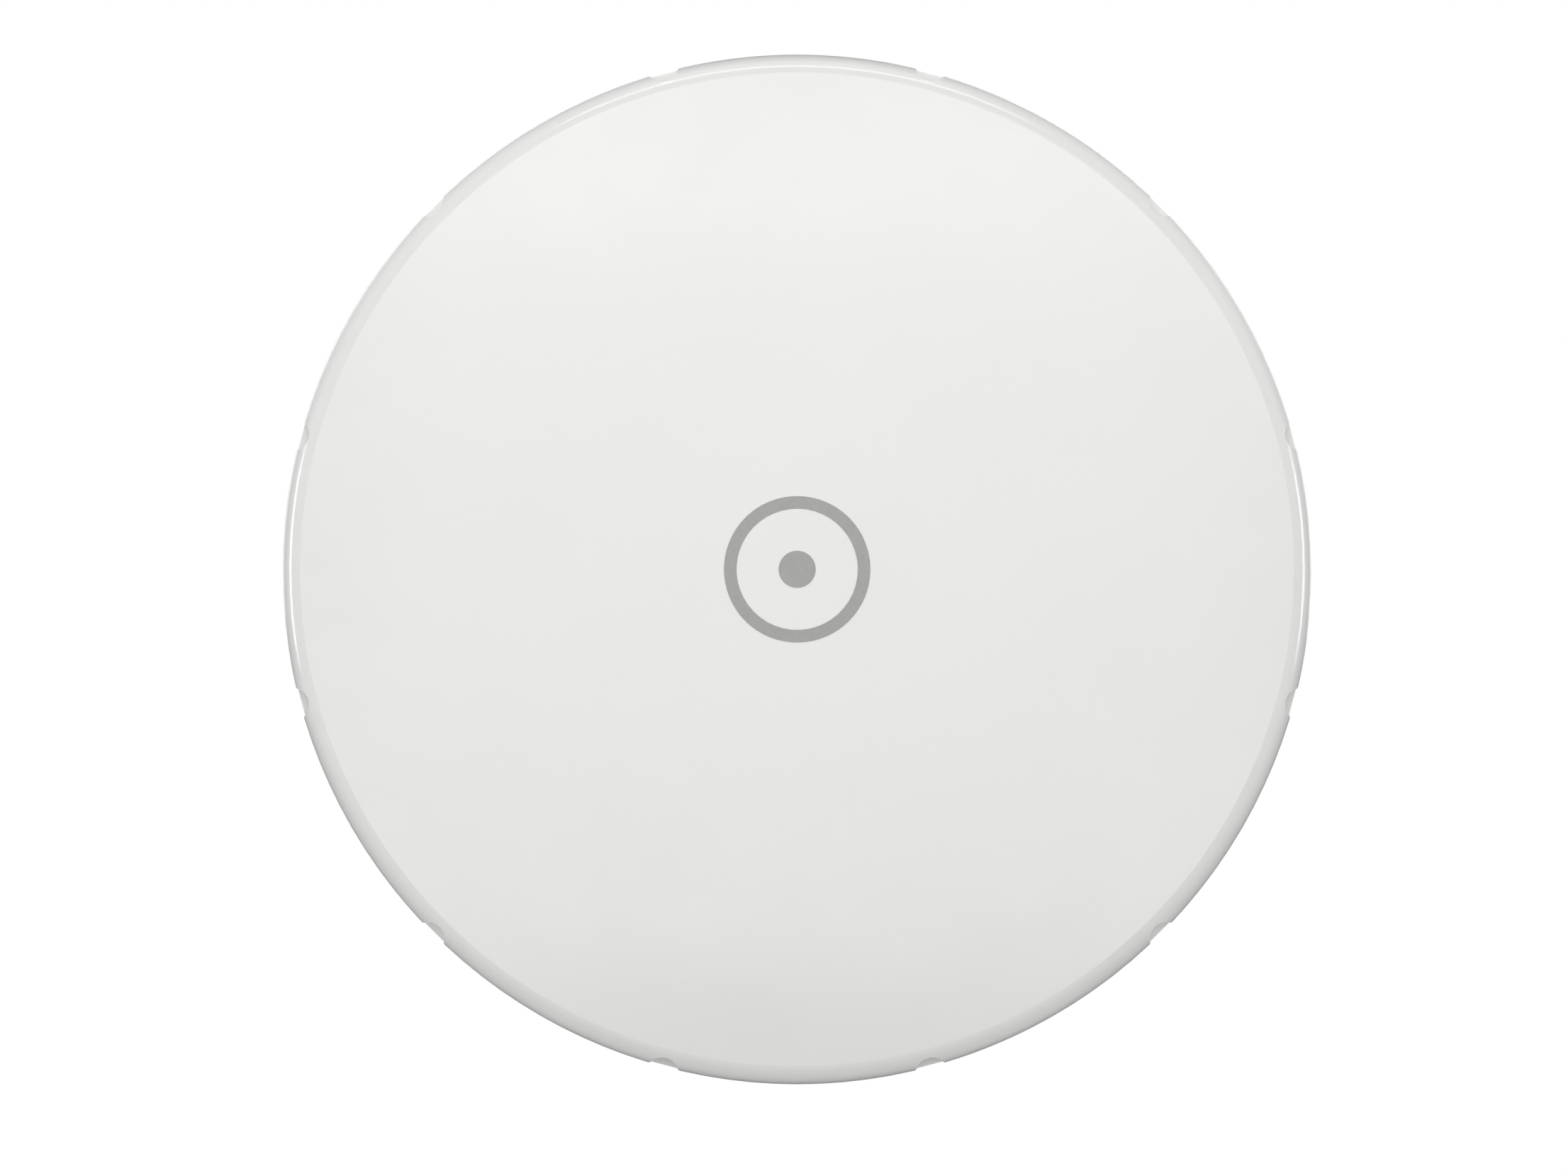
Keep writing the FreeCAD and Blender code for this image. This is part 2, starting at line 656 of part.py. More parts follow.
def rear_housing():
    """Bowl behind the reflector, with a flange, radial ribs and the front half of the electronics box."""
    body = new_body("RearHousing")
    flange = d.flange_y
    sketch = new_sketch(body, "XY_Plane")
    points = [
        (0, flange),
        (0, behind(d.bowl_depth)),
        (d.bowl_back_r, behind(d.bowl_depth)),
        (d.bowl_r, behind(d.flange_t)),
        (d.flange_r, behind(d.flange_t)),
        (d.flange_r, flange),
        (d.spigot_r, flange),
        (d.spigot_r, flange - d.spigot_h),
        (d.spigot_r - d.spigot_t, flange - d.spigot_h),
        (d.spigot_r - d.spigot_t, flange),
    ]
    outline(sketch, points, {2: -80})
    revolve(body, sketch)

    rib = new_sketch(body, "XY_Plane")
    rib_points = [
        (d.bowl_back_r, behind(d.bowl_depth - 4)),
        (d.bowl_back_r, behind(d.bowl_depth + d.rib_h)),
        (d.bowl_r + 4, behind(d.flange_t + d.rib_h - 1)),
        (d.bowl_r + 4, behind(d.flange_t - 0.5)),
        (d.bowl_r - 3, behind(d.flange_t - 0.5)),
    ]
    outline(rib, rib_points, {1: -84})
    polar(body, pad(body, rib, d.rib_t, both_ways=True), NOTCHES)

    spine = new_sketch(body, "XZ_Plane", at=behind(d.flange_t - 0.5))
    spine_outline(spine)
    pad(body, spine, d.seam - d.flange_t + 0.5, backward=True)

    hollow = new_sketch(body, "XY_Plane")
    inner_points = [
        (0, flange),
        (0, behind(d.bowl_depth - d.bowl_wall)),
        (d.bowl_back_r, behind(d.bowl_depth - d.bowl_wall)),
        (d.ledge_r, flange),
    ]
    outline(hollow, inner_points, {2: -77})
    revolve(body, hollow, "Groove")

    hollow_from = 5
    box_hollow = new_sketch(body, "XZ_Plane", at=behind(hollow_from))
    spine_outline(box_hollow, d.spine_wall)
    pocket(body, box_hollow, d.seam - hollow_from, backward=True)

    bosses = new_sketch(body, "XZ_Plane", at=behind(d.boss_depth))
    for x, z in both_sides(COVER_SCREW_SPOTS):
        circle(bosses, x, z, d.boss_r)
    pad(body, bosses, d.seam - d.boss_depth, backward=True)
    pilots_at = behind(d.seam - d.pilot_depth)
    drill(body, both_sides(COVER_SCREW_SPOTS), d.pilot_r, pilots_at, d.pilot_depth, inward=False)

    window = new_sketch(body, "XY_Plane")
    spigot_in = d.spigot_r - d.spigot_t
    rectangle(window, spigot_in - 1, d.spigot_r + 1, flange - 2.4, flange - 0.6)
    width = d.barb_w + 2 * d.barb_clear
    polar(body, pocket(body, window, width, both_ways=True), NOTCHES)

    seat = new_sketch(body, "XZ_Plane", at=flange)
    circle(seat, d.rim_screw_r, 0, 1.0)
    polar(body, pocket(body, seat, 4.2, backward=True), REFLECTOR_SCREWS)
    return export_as(body, "rear_housing")


def cover_gasket():
    """Flat seal in a groove round the seam of the electronics box."""
    body = new_body("CoverGasket")
    sketch = new_sketch(body, "XZ_Plane", at=behind(d.seam))
    spine_outline(sketch, d.seam_inset)
    spine_outline(sketch, d.seam_inset + d.seam_gasket_w)
    pad(body, sketch, d.seam_gasket_t, backward=True)
    return export_as(body, "cover_gasket")


# ---------------------------------------------------------------- reflector and feed


def dish_depth(radius):
    """How far behind the flange face the reflecting surface lies at a radius."""
    return (d.dish_r * d.dish_r - dim(radius) * radius) / (4 * d.dish_focus)


def dish_reflector():
    """Stamped paraboloid with a flat rim. A parabola is exactly a Bezier curve of three poles."""
    mouth, vertex = sheet.dish_r, sheet.dish_hole_r
    thick, front = sheet.dish_t, sheet.flange_y

    def section(offset):
        start = Vector(vertex, front + dish_depth(vertex).value + offset, 0)
        end = Vector(mouth, front + offset - thick, 0)
        slope = -vertex / (2 * sheet.dish_focus)
        middle_x = (vertex + mouth) / 2
        middle = Vector(middle_x, start.y + slope * (middle_x - vertex), 0)
        curve = Part.BezierCurve()
        curve.setPoles([start, middle, end])
        return curve.toShape()

    front_curve, back_curve = section(0.0), section(thick)
    rim_r = sheet.dish_rim_r
    corners = [
        front_curve.Vertexes[-1].Point,
        Vector(rim_r, front - thick, 0),
        Vector(rim_r, front, 0),
        back_curve.Vertexes[-1].Point,
    ]
    rim = Part.makePolygon(corners).Edges
    bore = Part.makeLine(back_curve.Vertexes[0].Point, front_curve.Vertexes[0].Point)
    wire = Part.Wire(Part.__sortEdges__([front_curve, *rim, back_curve, bore]))
    shell = Part.Face(wire).revolve(Vector(), Vector(0, 1, 0), 360)
    for k in range(REFLECTOR_SCREWS):
        turn = Rotation(Vector(0, 1, 0), k * 360 / REFLECTOR_SCREWS)
        spot = turn.multVec(Vector(sheet.rim_screw_r, front - 5, 0))
        shell = shell.cut(Part.makeCylinder(1.5, 10, spot, Vector(0, 1, 0)))
    feature = doc.addObject("Part::Feature", "DishReflector")
    feature.Shape = shell
    feature.Placement = Placement()
    return export_as(feature, "dish_reflector")


def reflector_screws():
    """Pan-head screws that hold the reflector's rim to the housing."""
    sketch = free_sketch("ReflectorScrewProfile")
    head_h = 1.4
    points = [(0, -4), (0.95, -4), (0.95, 0), (2.2, 0), (2.2, 0.6), (1.4, head_h), (0, head_h)]
    outline(sketch, points, {4: 1.2})
    screws = []
    for k in range(REFLECTOR_SCREWS):
        angle = k * 360 / REFLECTOR_SCREWS
        x, z = d.rim_screw_r * cosine(angle), d.rim_screw_r * sine(angle)
        screws.append(turned("ReflectorScrew", sketch, (x, d.flange_y - d.dish_t, z), "-Y"))
    return export_as(grouped("ReflectorScrews", screws), "reflector_screws")


def feed_tube():
    """Round waveguide that stands on the radio module, with a foot flange."""
    length = d.feed_seat - d.feed_mouth
    points = [
        (d.guide_r, 0), (9.3, 0), (9.3, 1.8), (d.feed_r + 1, 1.8), (d.feed_r, 4.0),
        (d.feed_r, length), (d.guide_r, length),
    ]
    tube = turned_once("FeedTube", points, (0, behind(d.feed_seat), 0), "-Y")
    return export_as(tube, "feed_tube")


def feed_cone():
    """Dielectric cone that carries the subreflector, plugged into the waveguide's mouth."""
    height = d.feed_mouth + d.cone_top
    points = [
        (0, -6), (1.3, -6), (d.guide_r - 0.05, -2), (d.guide_r - 0.05, 0), (4.4, 0),
        (d.cone_r, height), (3.0, height), (0, height - 4),
    ]
    cone = turned_once("FeedCone", points, (0, behind(d.feed_mouth), 0), "-Y", {4: -30})
    return export_as(cone, "feed_cone")


def subreflector():
    """Small metal splash plate with a pointed centre."""
    points = [(0, -4), (3.0, 0), (d.cone_r + 0.6, 0), (d.cone_r + 0.6, 1.2), (2.0, 2.4), (0, 2.4)]
    plate = turned_once("Subreflector", points, (0, d.flange_y - d.cone_top, 0), "-Y")
    return export_as(plate, "subreflector")


# ---------------------------------------------------------------- electronics

BOARD_SCREW_SPOTS = [(26.5, 37.5), (26.5, -52.0)]
board_back = behind(d.board_depth + d.board_t)


def on_back(label, low, high, depth, lift=0.0):
    """A component on the board's rear face, given its corners (x, z) and its height."""
    start = (low[0], board_back + lift, low[1])
    end = (high[0], board_back + lift + depth, high[1])
    return export_as(box(label.title().replace("_", ""), start, end), label)


def main_board():
    body = new_body("MainBoard")
    sketch = new_sketch(body, "XZ_Plane", at=behind(d.board_depth))
    rounded_rectangle(sketch, -d.board_half, d.board_half, d.board_low, d.board_top, 5)
    for x, z in both_sides(BOARD_SCREW_SPOTS):
        circle(sketch, x, z, 1.4)
    pad(body, sketch, d.board_t, backward=True)
    front = behind(d.board_depth)
    drill(body, both_sides(COVER_SCREW_SPOTS[:2]), d.boss_r + 0.5, front, d.board_t, inward=False)
    return export_as(body, "main_board")


def radio_module():
    """Square carrier of the radio chip on the board's front face."""
    body = new_body("RadioModule")
    sketch = new_sketch(body, "XZ_Plane", at=behind(d.feed_seat))
    rounded_rectangle(sketch, -15, 15, -15, 15, 1.5)
    pad(body, sketch, d.board_depth - d.feed_seat, backward=True)
    return export_as(body, "radio_module")


def radio_shield():
    """Low metal frame round the feed's foot."""
    body = new_body("RadioShield")
    sketch = new_sketch(body, "XZ_Plane", at=behind(d.feed_seat - 0.9))
    rounded_rectangle(sketch, -13.5, 13.5, -13.5, 13.5, 1)
    circle(sketch, 0, 0, 9.9)
    pad(body, sketch, 0.9, backward=True)
    return export_as(body, "radio_shield")


def processor_stack():
    """Processor, thermal pad and finned heat spreader on the rear face."""
    chip_h, pad_h = 1.2, 0.8
    on_back("processor", (-7, 1), (7, 15), chip_h)
    on_back("thermal_pad", (-6.5, 1.5), (6.5, 14.5), pad_h, chip_h)
    body = new_body("HeatSpreader")
    foot = chip_h + pad_h
    sketch = new_sketch(body, "XZ_Plane", at=board_back + foot)
    half = 13.4
    rounded_rectangle(sketch, -half, half, -9, 25, 1.5)
    pad(body, sketch, 9.0, backward=True)
    fins = new_sketch(body, "XZ_Plane", at=board_back + foot + 2.5)
    fin, gaps = 1.6, 6
    pitch = (2 * half - fin) / gaps
    gap = pitch - fin
    for k in range(gaps):
        left = -half + fin + k * pitch
        rectangle(fins, left, left + gap, -10, 26)
    pocket(body, fins, 7.0, backward=True)
    export_as(body, "heat_spreader")


def small_components():
    memory = [
        box("MemoryChip", (-24, board_back, z), (-17, board_back + 1.0, z + 9))
        for z in (2, 14)
    ]
    export_as(grouped("MemoryChips", memory), "memory_chips")
    on_back("line_transformer", (-7.5, -30), (7.5, -18), 6.5)
    on_back("power_inductor", (18.5, 8), (29, 18.5), 6.0)
    guards = [rod("SurgeGuard", (x, board_back + 2.6, -30), "Z", 2.4, 6.5) for x in (-22, -15)]
    export_as(grouped("SurgeProtectors", guards), "surge_protectors")
    cans = [
        rod("Capacitor", (x, board_back, z), "Y", 3.8, 9.5)
        for x, z in ((24.5, -3.5), (24.5, -12), (24.5, -28.5))
    ]
    export_as(grouped("Capacitors", cans), "capacitors")
    lights = [
        box("Led", (x - 0.8, board_back, d.led_z - 0.4), (x + 0.8, board_back + 0.6, d.led_z + 0.4))
        for x in led_places()
    ]
    export_as(grouped("StatusLeds", lights), "status_leds")


def led_places():
    return [d.led_pitch * (k - 3.5) for k in range(8)]


def ethernet_jack():
    """Shielded socket that opens downward, with a keyed mouth and a latch slot."""
    body = new_body("EthernetJack")
    sketch = new_sketch(body, "XZ_Plane", at=board_back)
    rectangle(sketch, -d.jack_half, d.jack_half, d.jack_face, d.jack_top)
    pad(body, sketch, d.jack_h, backward=True)
    mouth = new_sketch(body, "XY_Plane", at=d.jack_face)
    near, far = board_back + 2.6, board_back + 9.8
    latch, key = 11.3, 12.6
    points = [
        (-5.95, near), (5.95, near), (5.95, far), (3.1, far), (3.1, board_back + latch),
        (1.7, board_back + latch), (1.7, board_back + key), (-1.7, board_back + key),
        (-1.7, board_back + latch), (-3.1, board_back + latch), (-3.1, far), (-5.95, far),
    ]
    outline(mouth, points)
    pocket(body, mouth, 12.5)
    return export_as(body, "ethernet_jack")


def jack_contacts():
    """Eight gilt springs along the floor of the socket."""
    pins = []
    for k in range(8):
        x = (k - 3.5) * 1.02
        low = (x - 0.2, board_back + 2.6, d.jack_face + 3)
        pins.append(box("JackContact", low, (x + 0.2, board_back + 3.6, d.jack_face + 12.5)))
    return export_as(grouped("JackContacts", pins), "jack_contacts")


def reset_switch():
    base = box(
        "ResetBase",
        (d.reset_x - 3, board_back, d.reset_z - 3),
        (d.reset_x + 3, board_back + d.reset_h, d.reset_z + 3),
    )
    well = rod("ResetWell", (d.reset_x, board_back + 1.6, d.reset_z), "Y", 1.75, 3)
    return export_as(cut("ResetSwitch", base, well), "reset_switch")


def reset_plunger():
    floor = 1.6 + d.reset_travel + 0.1
    points = [(0, 0), (1.7, 0), (1.7, 3.0), (1.4, 3.3), (0, 3.3)]
    plunger = turned_once("ResetPlunger", points, (d.reset_x, board_back + floor, d.reset_z), "Y")
    return export_as(plunger, "reset_plunger")


def light_pipe():
    """Clear bar with eight rods that carry the status lights to the back face."""
    body = new_body("LightPipe")
    bar_at = behind(d.head_depth - d.back_wall - 2.2)
    bar = new_sketch(body, "XZ_Plane", at=bar_at)
    half = 4 * d.led_pitch
    rounded_rectangle(bar, -half, half, d.led_z - 1.9, d.led_z + 1.9, 1.5)
    pad(body, bar, 2.2, backward=True)
    front = new_sketch(body, "XZ_Plane", at=board_back + 0.9)
    back = new_sketch(body, "XZ_Plane", at=bar_at)
    for x in led_places():
        circle(front, x, d.led_z, 1.0)
        circle(back, x, d.led_z, 0.85)
    pad(body, front, bar_at - (board_back + 0.9) + 0.2, backward=True)
    pad(body, back, 2.2 + d.back_wall + 0.15, backward=True)
    return export_as(body, "light_pipe")


# ---------------------------------------------------------------- electronics cover

OPENING = (20.0, -75.5, -49.5)
GROUND_SPOT = (-30.0, -54.0)
KNUCKLE_SPANS = ((-21.0, -13.0), (13.0, 21.0))
back_y = behind(d.head_depth)
hinge_y = back_y + d.hinge_up


def bracket_screw_spots():
    return [(s * d.screw_x, t * d.screw_z) for s in (1, -1) for t in (1, -1)]


def electronics_cover():
    """Rear tray of the electronics box: board posts, bracket bosses, door recess and hinge."""
    body = new_body("ElectronicsCover")
    seam_y = behind(d.seam)
    outer = new_sketch(body, "XZ_Plane", at=seam_y)
    spine_outline(outer)
    pad(body, outer, d.head_depth - d.seam, backward=True)
    round_edges(body, d.back_round, edge_in_plane(back_y.value))
    inner = new_sketch(body, "XZ_Plane", at=seam_y)
    spine_outline(inner, d.spine_wall)
    pocket(body, inner, d.head_depth - d.seam - d.back_wall, backward=True)

    rooted = behind(d.head_depth - d.back_wall + 0.5)
    columns = new_sketch(body, "XZ_Plane", at=rooted)
    for x, z in both_sides(COVER_SCREW_SPOTS):
        circle(columns, x, z, d.boss_r)
    pad(body, columns, rooted - seam_y)
    posts = new_sketch(body, "XZ_Plane", at=rooted)
    for x, z in both_sides(BOARD_SCREW_SPOTS):
        circle(posts, x, z, d.post_r)
    pad(body, posts, rooted - board_back)
    sockets = new_sketch(body, "XZ_Plane", at=rooted)
    for x, z in bracket_screw_spots():
        circle(sockets, x, z, d.insert_boss_r)
    pad(body, sockets, d.insert_boss_h + 0.5)

    gasket_groove = new_sketch(body, "XZ_Plane", at=seam_y)
    spine_outline(gasket_groove, d.seam_inset)
    spine_outline(gasket_groove, d.seam_inset + d.seam_gasket_w)
    pocket(body, gasket_groove, d.seam_gasket_t, backward=True)

    recess = new_sketch(body, "XZ_Plane", at=back_y)
    side = d.door_half + 0.3
    rounded_rectangle(recess, -side, side, d.door_low - 0.3, d.hinge_z + d.knuckle_r + 0.4, 2)
    pocket(body, recess, d.recess_depth)
    opening = new_sketch(body, "XZ_Plane", at=back_y)
    half, low, high = OPENING
    rounded_rectangle(opening, -half, half, low, high, 3)
    pocket(body, opening, d.back_wall + 1)
    scoop = new_sketch(body, "XZ_Plane", at=back_y)
    rounded_rectangle(scoop, -8, 8, d.spine_low - 4, d.door_low + 1, 2.5)
    pocket(body, scoop, d.recess_depth)
    for left, right in KNUCKLE_SPANS:
        add_cover_knuckle(body, left, right)

    through = d.head_depth - d.seam + 1
    drill(body, both_sides(COVER_SCREW_SPOTS), d.screw_clear_r, back_y, through)
    drill(body, both_sides(COVER_SCREW_SPOTS), d.screw_seat_r, back_y, d.screw_seat_depth)
    drill(body, both_sides(BOARD_SCREW_SPOTS), 1.0, board_back, 6, inward=False)
    drill(body, bracket_screw_spots(), d.insert_r, back_y, d.insert_len + 0.5)
    drill(body, [(x, d.led_z) for x in led_places()], 0.95, back_y, d.back_wall + 1)
    drill(body, [GROUND_SPOT], 1.7, back_y, d.back_wall - 0.6)

    outlet = new_sketch(body, "XY_Plane", at=d.spine_low - 1)
    circle(outlet, 0, behind(d.cable_depth), d.grommet_r)
    pocket(body, outlet, d.spine_wall + 2)
    return export_as(body, "electronics_cover")


def drill(body, spots, radius, at, depth, inward=True):
    """Round holes from a plane across Y, towards the front or towards the back."""
    sketch = new_sketch(body, "XZ_Plane", at=at)
    for x, z in spots:
        circle(sketch, x, z, radius)
    return pocket(body, sketch, depth, backward=not inward)


def add_cover_knuckle(body, left, right):
    """One hinge knuckle that stands on the recess floor."""
    sketch = new_sketch(body, "YZ_Plane", at=left)
    floor = back_y - d.recess_depth - 0.3
    points = [
        (floor, d.hinge_z - d.knuckle_r),
        (hinge_y, d.hinge_z - d.knuckle_r),
        (hinge_y, d.hinge_z + d.knuckle_r),
        (floor, d.hinge_z + d.knuckle_r),
    ]
    outline(sketch, points, {1: "half"})
    circle(sketch, hinge_y, d.hinge_z, d.pin_r + d.pin_play)
    pad(body, sketch, right - left)


def cover_screws():
    sketch = free_sketch("CoverScrewProfile")
    shank, tip, head_h = 13.4, 20.0, 1.8
    points = [
        (0, -tip), (1.15, -tip), (1.15, -shank), (1.5, -shank),
        (1.5, 0), (2.8, 0), (2.8, head_h), (0, head_h),
    ]
    outline(sketch, points)
    screws = []
    for x, z in both_sides(COVER_SCREW_SPOTS):
        seat = back_y - d.screw_seat_depth
        blank = turned("CoverScrew", sketch, (x, seat, z), "Y")
        drive = prism("CoverDrive", (x, seat + 0.7, z), "Y", 1.4, 2)
        screws.append(cut("CoverScrewCut", blank, drive))
    return export_as(grouped("CoverScrews", screws), "cover_screws")


def board_screws():
    sketch = free_sketch("BoardScrewProfile")
    outline(sketch, [(0, -6.5), (0.95, -6.5), (0.95, 0), (2.2, 0), (2.2, 1.4), (0, 1.4)])
    screws = []
    for x, z in both_sides(BOARD_SCREW_SPOTS):
        screws.append(turned("BoardScrew", sketch, (x, behind(d.board_depth), z), "-Y"))
    return export_as(grouped("BoardScrews", screws), "board_screws")


def bracket_inserts():
    """Brass threaded inserts in the electronics cover."""
    sketch = free_sketch("InsertProfile")
    bore, outer, length = d.insert_bore_r, d.insert_r, d.insert_len
    outline(sketch, [(bore, 0), (outer, 0), (outer, length), (bore, length)])
    sleeves = [turned("Insert", sketch, (x, back_y, z), "-Y") for x, z in bracket_screw_spots()]
    return export_as(grouped("BracketInserts", sleeves), "bracket_inserts")


def cable_grommet():
    """Rubber bush in the bottom wall, with a lip inside and outside."""
    r = d.cable_r
    wall = d.spine_wall
    points = [
        (r, -1.4), (6.4, -1.4), (6.8, 0), (d.grommet_r, 0), (d.grommet_r, wall),
        (5.7, wall), (5.3, wall + 1.6), (r, wall + 1.6),
    ]
    bush = turned_once("CableGrommet", points, (0, behind(d.cable_depth), d.spine_low), "Z")
    return export_as(bush, "cable_grommet")


def ground_terminal():
    """Earth screw on the back face, with its washer."""
    x, z = GROUND_SPOT
    section = [(1.75, 0), (3.9, 0), (3.9, 0.6), (1.75, 0.6)]
    washer = turned_once("GroundWasher", section, (x, back_y, z), "Y")
    export_as(washer, "ground_washer")
    points = [(0, -2.4), (1.65, -2.4), (1.65, 0.6), (3.2, 0.6), (3.2, 2.0), (2.4, 2.8), (0, 2.8)]
    blank = turned_once("GroundBlank", points, (x, back_y, z), "Y", {4: 1.2})
    slot = box("GroundSlot", (x - 4, back_y + 1.7, z - 0.45), (x + 4, back_y + 4, z + 0.45))
    export_as(cut("GroundScrew", blank, slot), "ground_screw")


# ---------------------------------------------------------------- service door


def service_door():
    """Hatch over the cable bay, hung on its top edge."""
    body = new_body("ServiceDoor")
    inner = back_y - d.recess_depth + 0.1
    plate = new_sketch(body, "XZ_Plane", at=inner)
    top = d.hinge_z - d.knuckle_r - 0.8
    rounded_rectangle(plate, -d.door_half, d.door_half, d.door_low, top, 2)
    pad(body, plate, d.door_t, backward=True)
    outer = inner + d.door_t
    round_edges(body, 0.8, edge_in_plane(outer.value))

    knuckle = new_sketch(body, "YZ_Plane", at=KNUCKLE_SPANS[0][1] + 0.3)
    points = [
        (hinge_y - d.knuckle_r, d.hinge_z),
        (inner + 0.2, top - 1.5),
        (outer - 0.2, top - 1.5),
        (hinge_y + d.knuckle_r, d.hinge_z),
    ]
    outline(knuckle, points, {3: "half"})
    circle(knuckle, hinge_y, d.hinge_z, d.pin_r + d.pin_play)
    pad(body, knuckle, KNUCKLE_SPANS[1][0] - KNUCKLE_SPANS[0][1] - 0.6)

    grip = new_sketch(body, "XZ_Plane", at=outer)
    for k in range(4):
        low = d.door_low + 3 + k * 2.2
        rounded_rectangle(grip, -9, 9, low, low + 1.1, 0.5)
    pad(body, grip, 0.6, backward=True)
    return export_as(body, "service_door")


def door_seal():
    """Foam frame on the door's inner face that fits inside the opening."""
    body = new_body("DoorSeal")
    half, low, high = OPENING
    clear = 0.6
    inner = back_y - d.recess_depth + 0.1
    sketch = new_sketch(body, "XZ_Plane", at=inner)
    edge = half - clear
    rounded_rectangle(sketch, -edge, edge, low + clear, high - clear, 2.5)
    rounded_rectangle(sketch, -(edge - 1.6), edge - 1.6, low + clear + 1.6, high - clear - 1.6, 1.5)
    pad(body, sketch, 1.6)
    return export_as(body, "door_seal")


def door_hinge_pin():
    left, right = KNUCKLE_SPANS[0][0], KNUCKLE_SPANS[1][1]
    pin = rod("DoorHingePin", (left, hinge_y, d.hinge_z), "X", d.pin_r, right - left)
    return export_as(pin, "door_hinge_pin")


# ---------------------------------------------------------------- tilt bracket


def round_pivot(radius, angle):
    """A point at a radius and an angle round the tilt pivot, in (y, z)."""
    return (d.pivot_y + radius * cosine(angle), d.pivot_z + radius * sine(angle))


def tilt_bracket():
    """Pressed channel on the back of the head: base plate and two ears with arc slots."""
    body = new_body("TiltBracket")
    ear_in = d.web_half + d.ear_gap
    ear_out = ear_in + d.plate_t
    front = d.base_y - d.plate_t
    base = new_sketch(body, "XZ_Plane", at=d.base_y)
    rectangle(base, -ear_out, ear_out, -d.base_half_z, d.base_half_z)
    pad(body, base, d.plate_t)

    ear = new_sketch(body, "YZ_Plane", at=ear_in)
    skirt_r = d.lock_radius + d.slot_skirt
    points = [
        (front, -d.base_half_z),
        (front + 4, -d.base_half_z),
        round_pivot(skirt_r, -105),
        round_pivot(skirt_r, -58),
        round_pivot(d.pivot_boss_r, -4),
        round_pivot(d.pivot_boss_r, 86),
        (front + 8, d.base_half_z),
        (front, d.base_half_z),
    ]
    outline(ear, points, {2: skirt_r, 4: d.pivot_boss_r})
    circle(ear, d.pivot_y, d.pivot_z, d.bolt_r + d.pin_play)
    arc_slot(ear)
    mirror(body, [pad(body, ear, d.plate_t)], "YZ_Plane")

    bend = front.value
    outer_x = ear_out.value
    round_edges(body, 3.0, lambda e: long_bend(e, bend, outer_x))
    drill(body, bracket_screw_spots(), 2.2, d.base_y, d.plate_t + 1)
    window = new_sketch(body, "XZ_Plane", at=d.base_y)
    rounded_rectangle(window, -11, 11, -16, 16, 5)
    pocket(body, window, d.plate_t + 1)
    return export_as(body, "tilt_bracket")


def long_bend(edge, y, x):
    """Picks the long vertical edges at one corner of a channel, on both sides."""
    b = edge.BoundBox
    upright = b.ZLength > 30 and b.XLength < 1e-4 and b.YLength < 1e-4
    return upright and abs(b.YMin - y) < 1e-3 and abs(abs(b.XMin) - x) < 1e-3


def arc_slot(sketch):
    """Curved slot round the pivot for the lock bolt."""
    far, near = d.lock_radius + d.slot_half, d.lock_radius - d.slot_half
    low, high = -90 - d.slot_sweep, -90 + d.slot_sweep
    points = [
        round_pivot(far, low), round_pivot(far, high),
        round_pivot(near, high), round_pivot(near, low),
    ]
    outline(sketch, points, {0: far, 1: "half", 2: -near, 3: "half"})


def bracket_screws():
    """Hexagon-socket button screws that fix the tilt bracket to the inserts."""
    sketch = free_sketch("BracketScrewProfile")
    points = [(0, -9.5), (1.95, -9.5), (1.95, 0), (3.8, 0), (3.8, 0.5), (2.2, 2.2), (0, 2.2)]
    outline(sketch, points, {4: 2.6})
    screws = []
    for x, z in bracket_screw_spots():
        blank = turned("BracketScrew", sketch, (x, d.base_y, z), "Y")
        socket = prism("BracketSocket", (x, d.base_y + 0.9, z), "Y", 1.45, 2)
        screws.append(cut("BracketScrewCut", blank, socket))
    return export_as(grouped("BracketScrews", screws), "bracket_screws")


# ---------------------------------------------------------------- mast bracket

TEETH = 7
FIRST_TOOTH = 3.5


def jaw_points():
    """Outline of one jaw: a right-angled V whose teeth touch the mast."""
    apex = -(d.mast_r / sine(45))
    edge = []
    for k in range(TEETH):
        tip = FIRST_TOOTH + k * d.tooth_pitch
        for along, depth in ((tip, 0), (tip + d.tooth_pitch / 2, d.tooth_depth)):
            x = (along + depth) * sine(45)
            y = apex + (along - depth) * cosine(45)
            edge.append((x, y))
    right = [(dim(0), apex + 1.2), *edge, (d.jaw_half - 3.2, d.jaw_end_y), (d.jaw_half, d.jaw_end_y)]
    right.append((d.jaw_half, d.web_y - d.plate_t / 2))
    left = [(-x, y) for x, y in reversed(right[1:])]
    return right + left


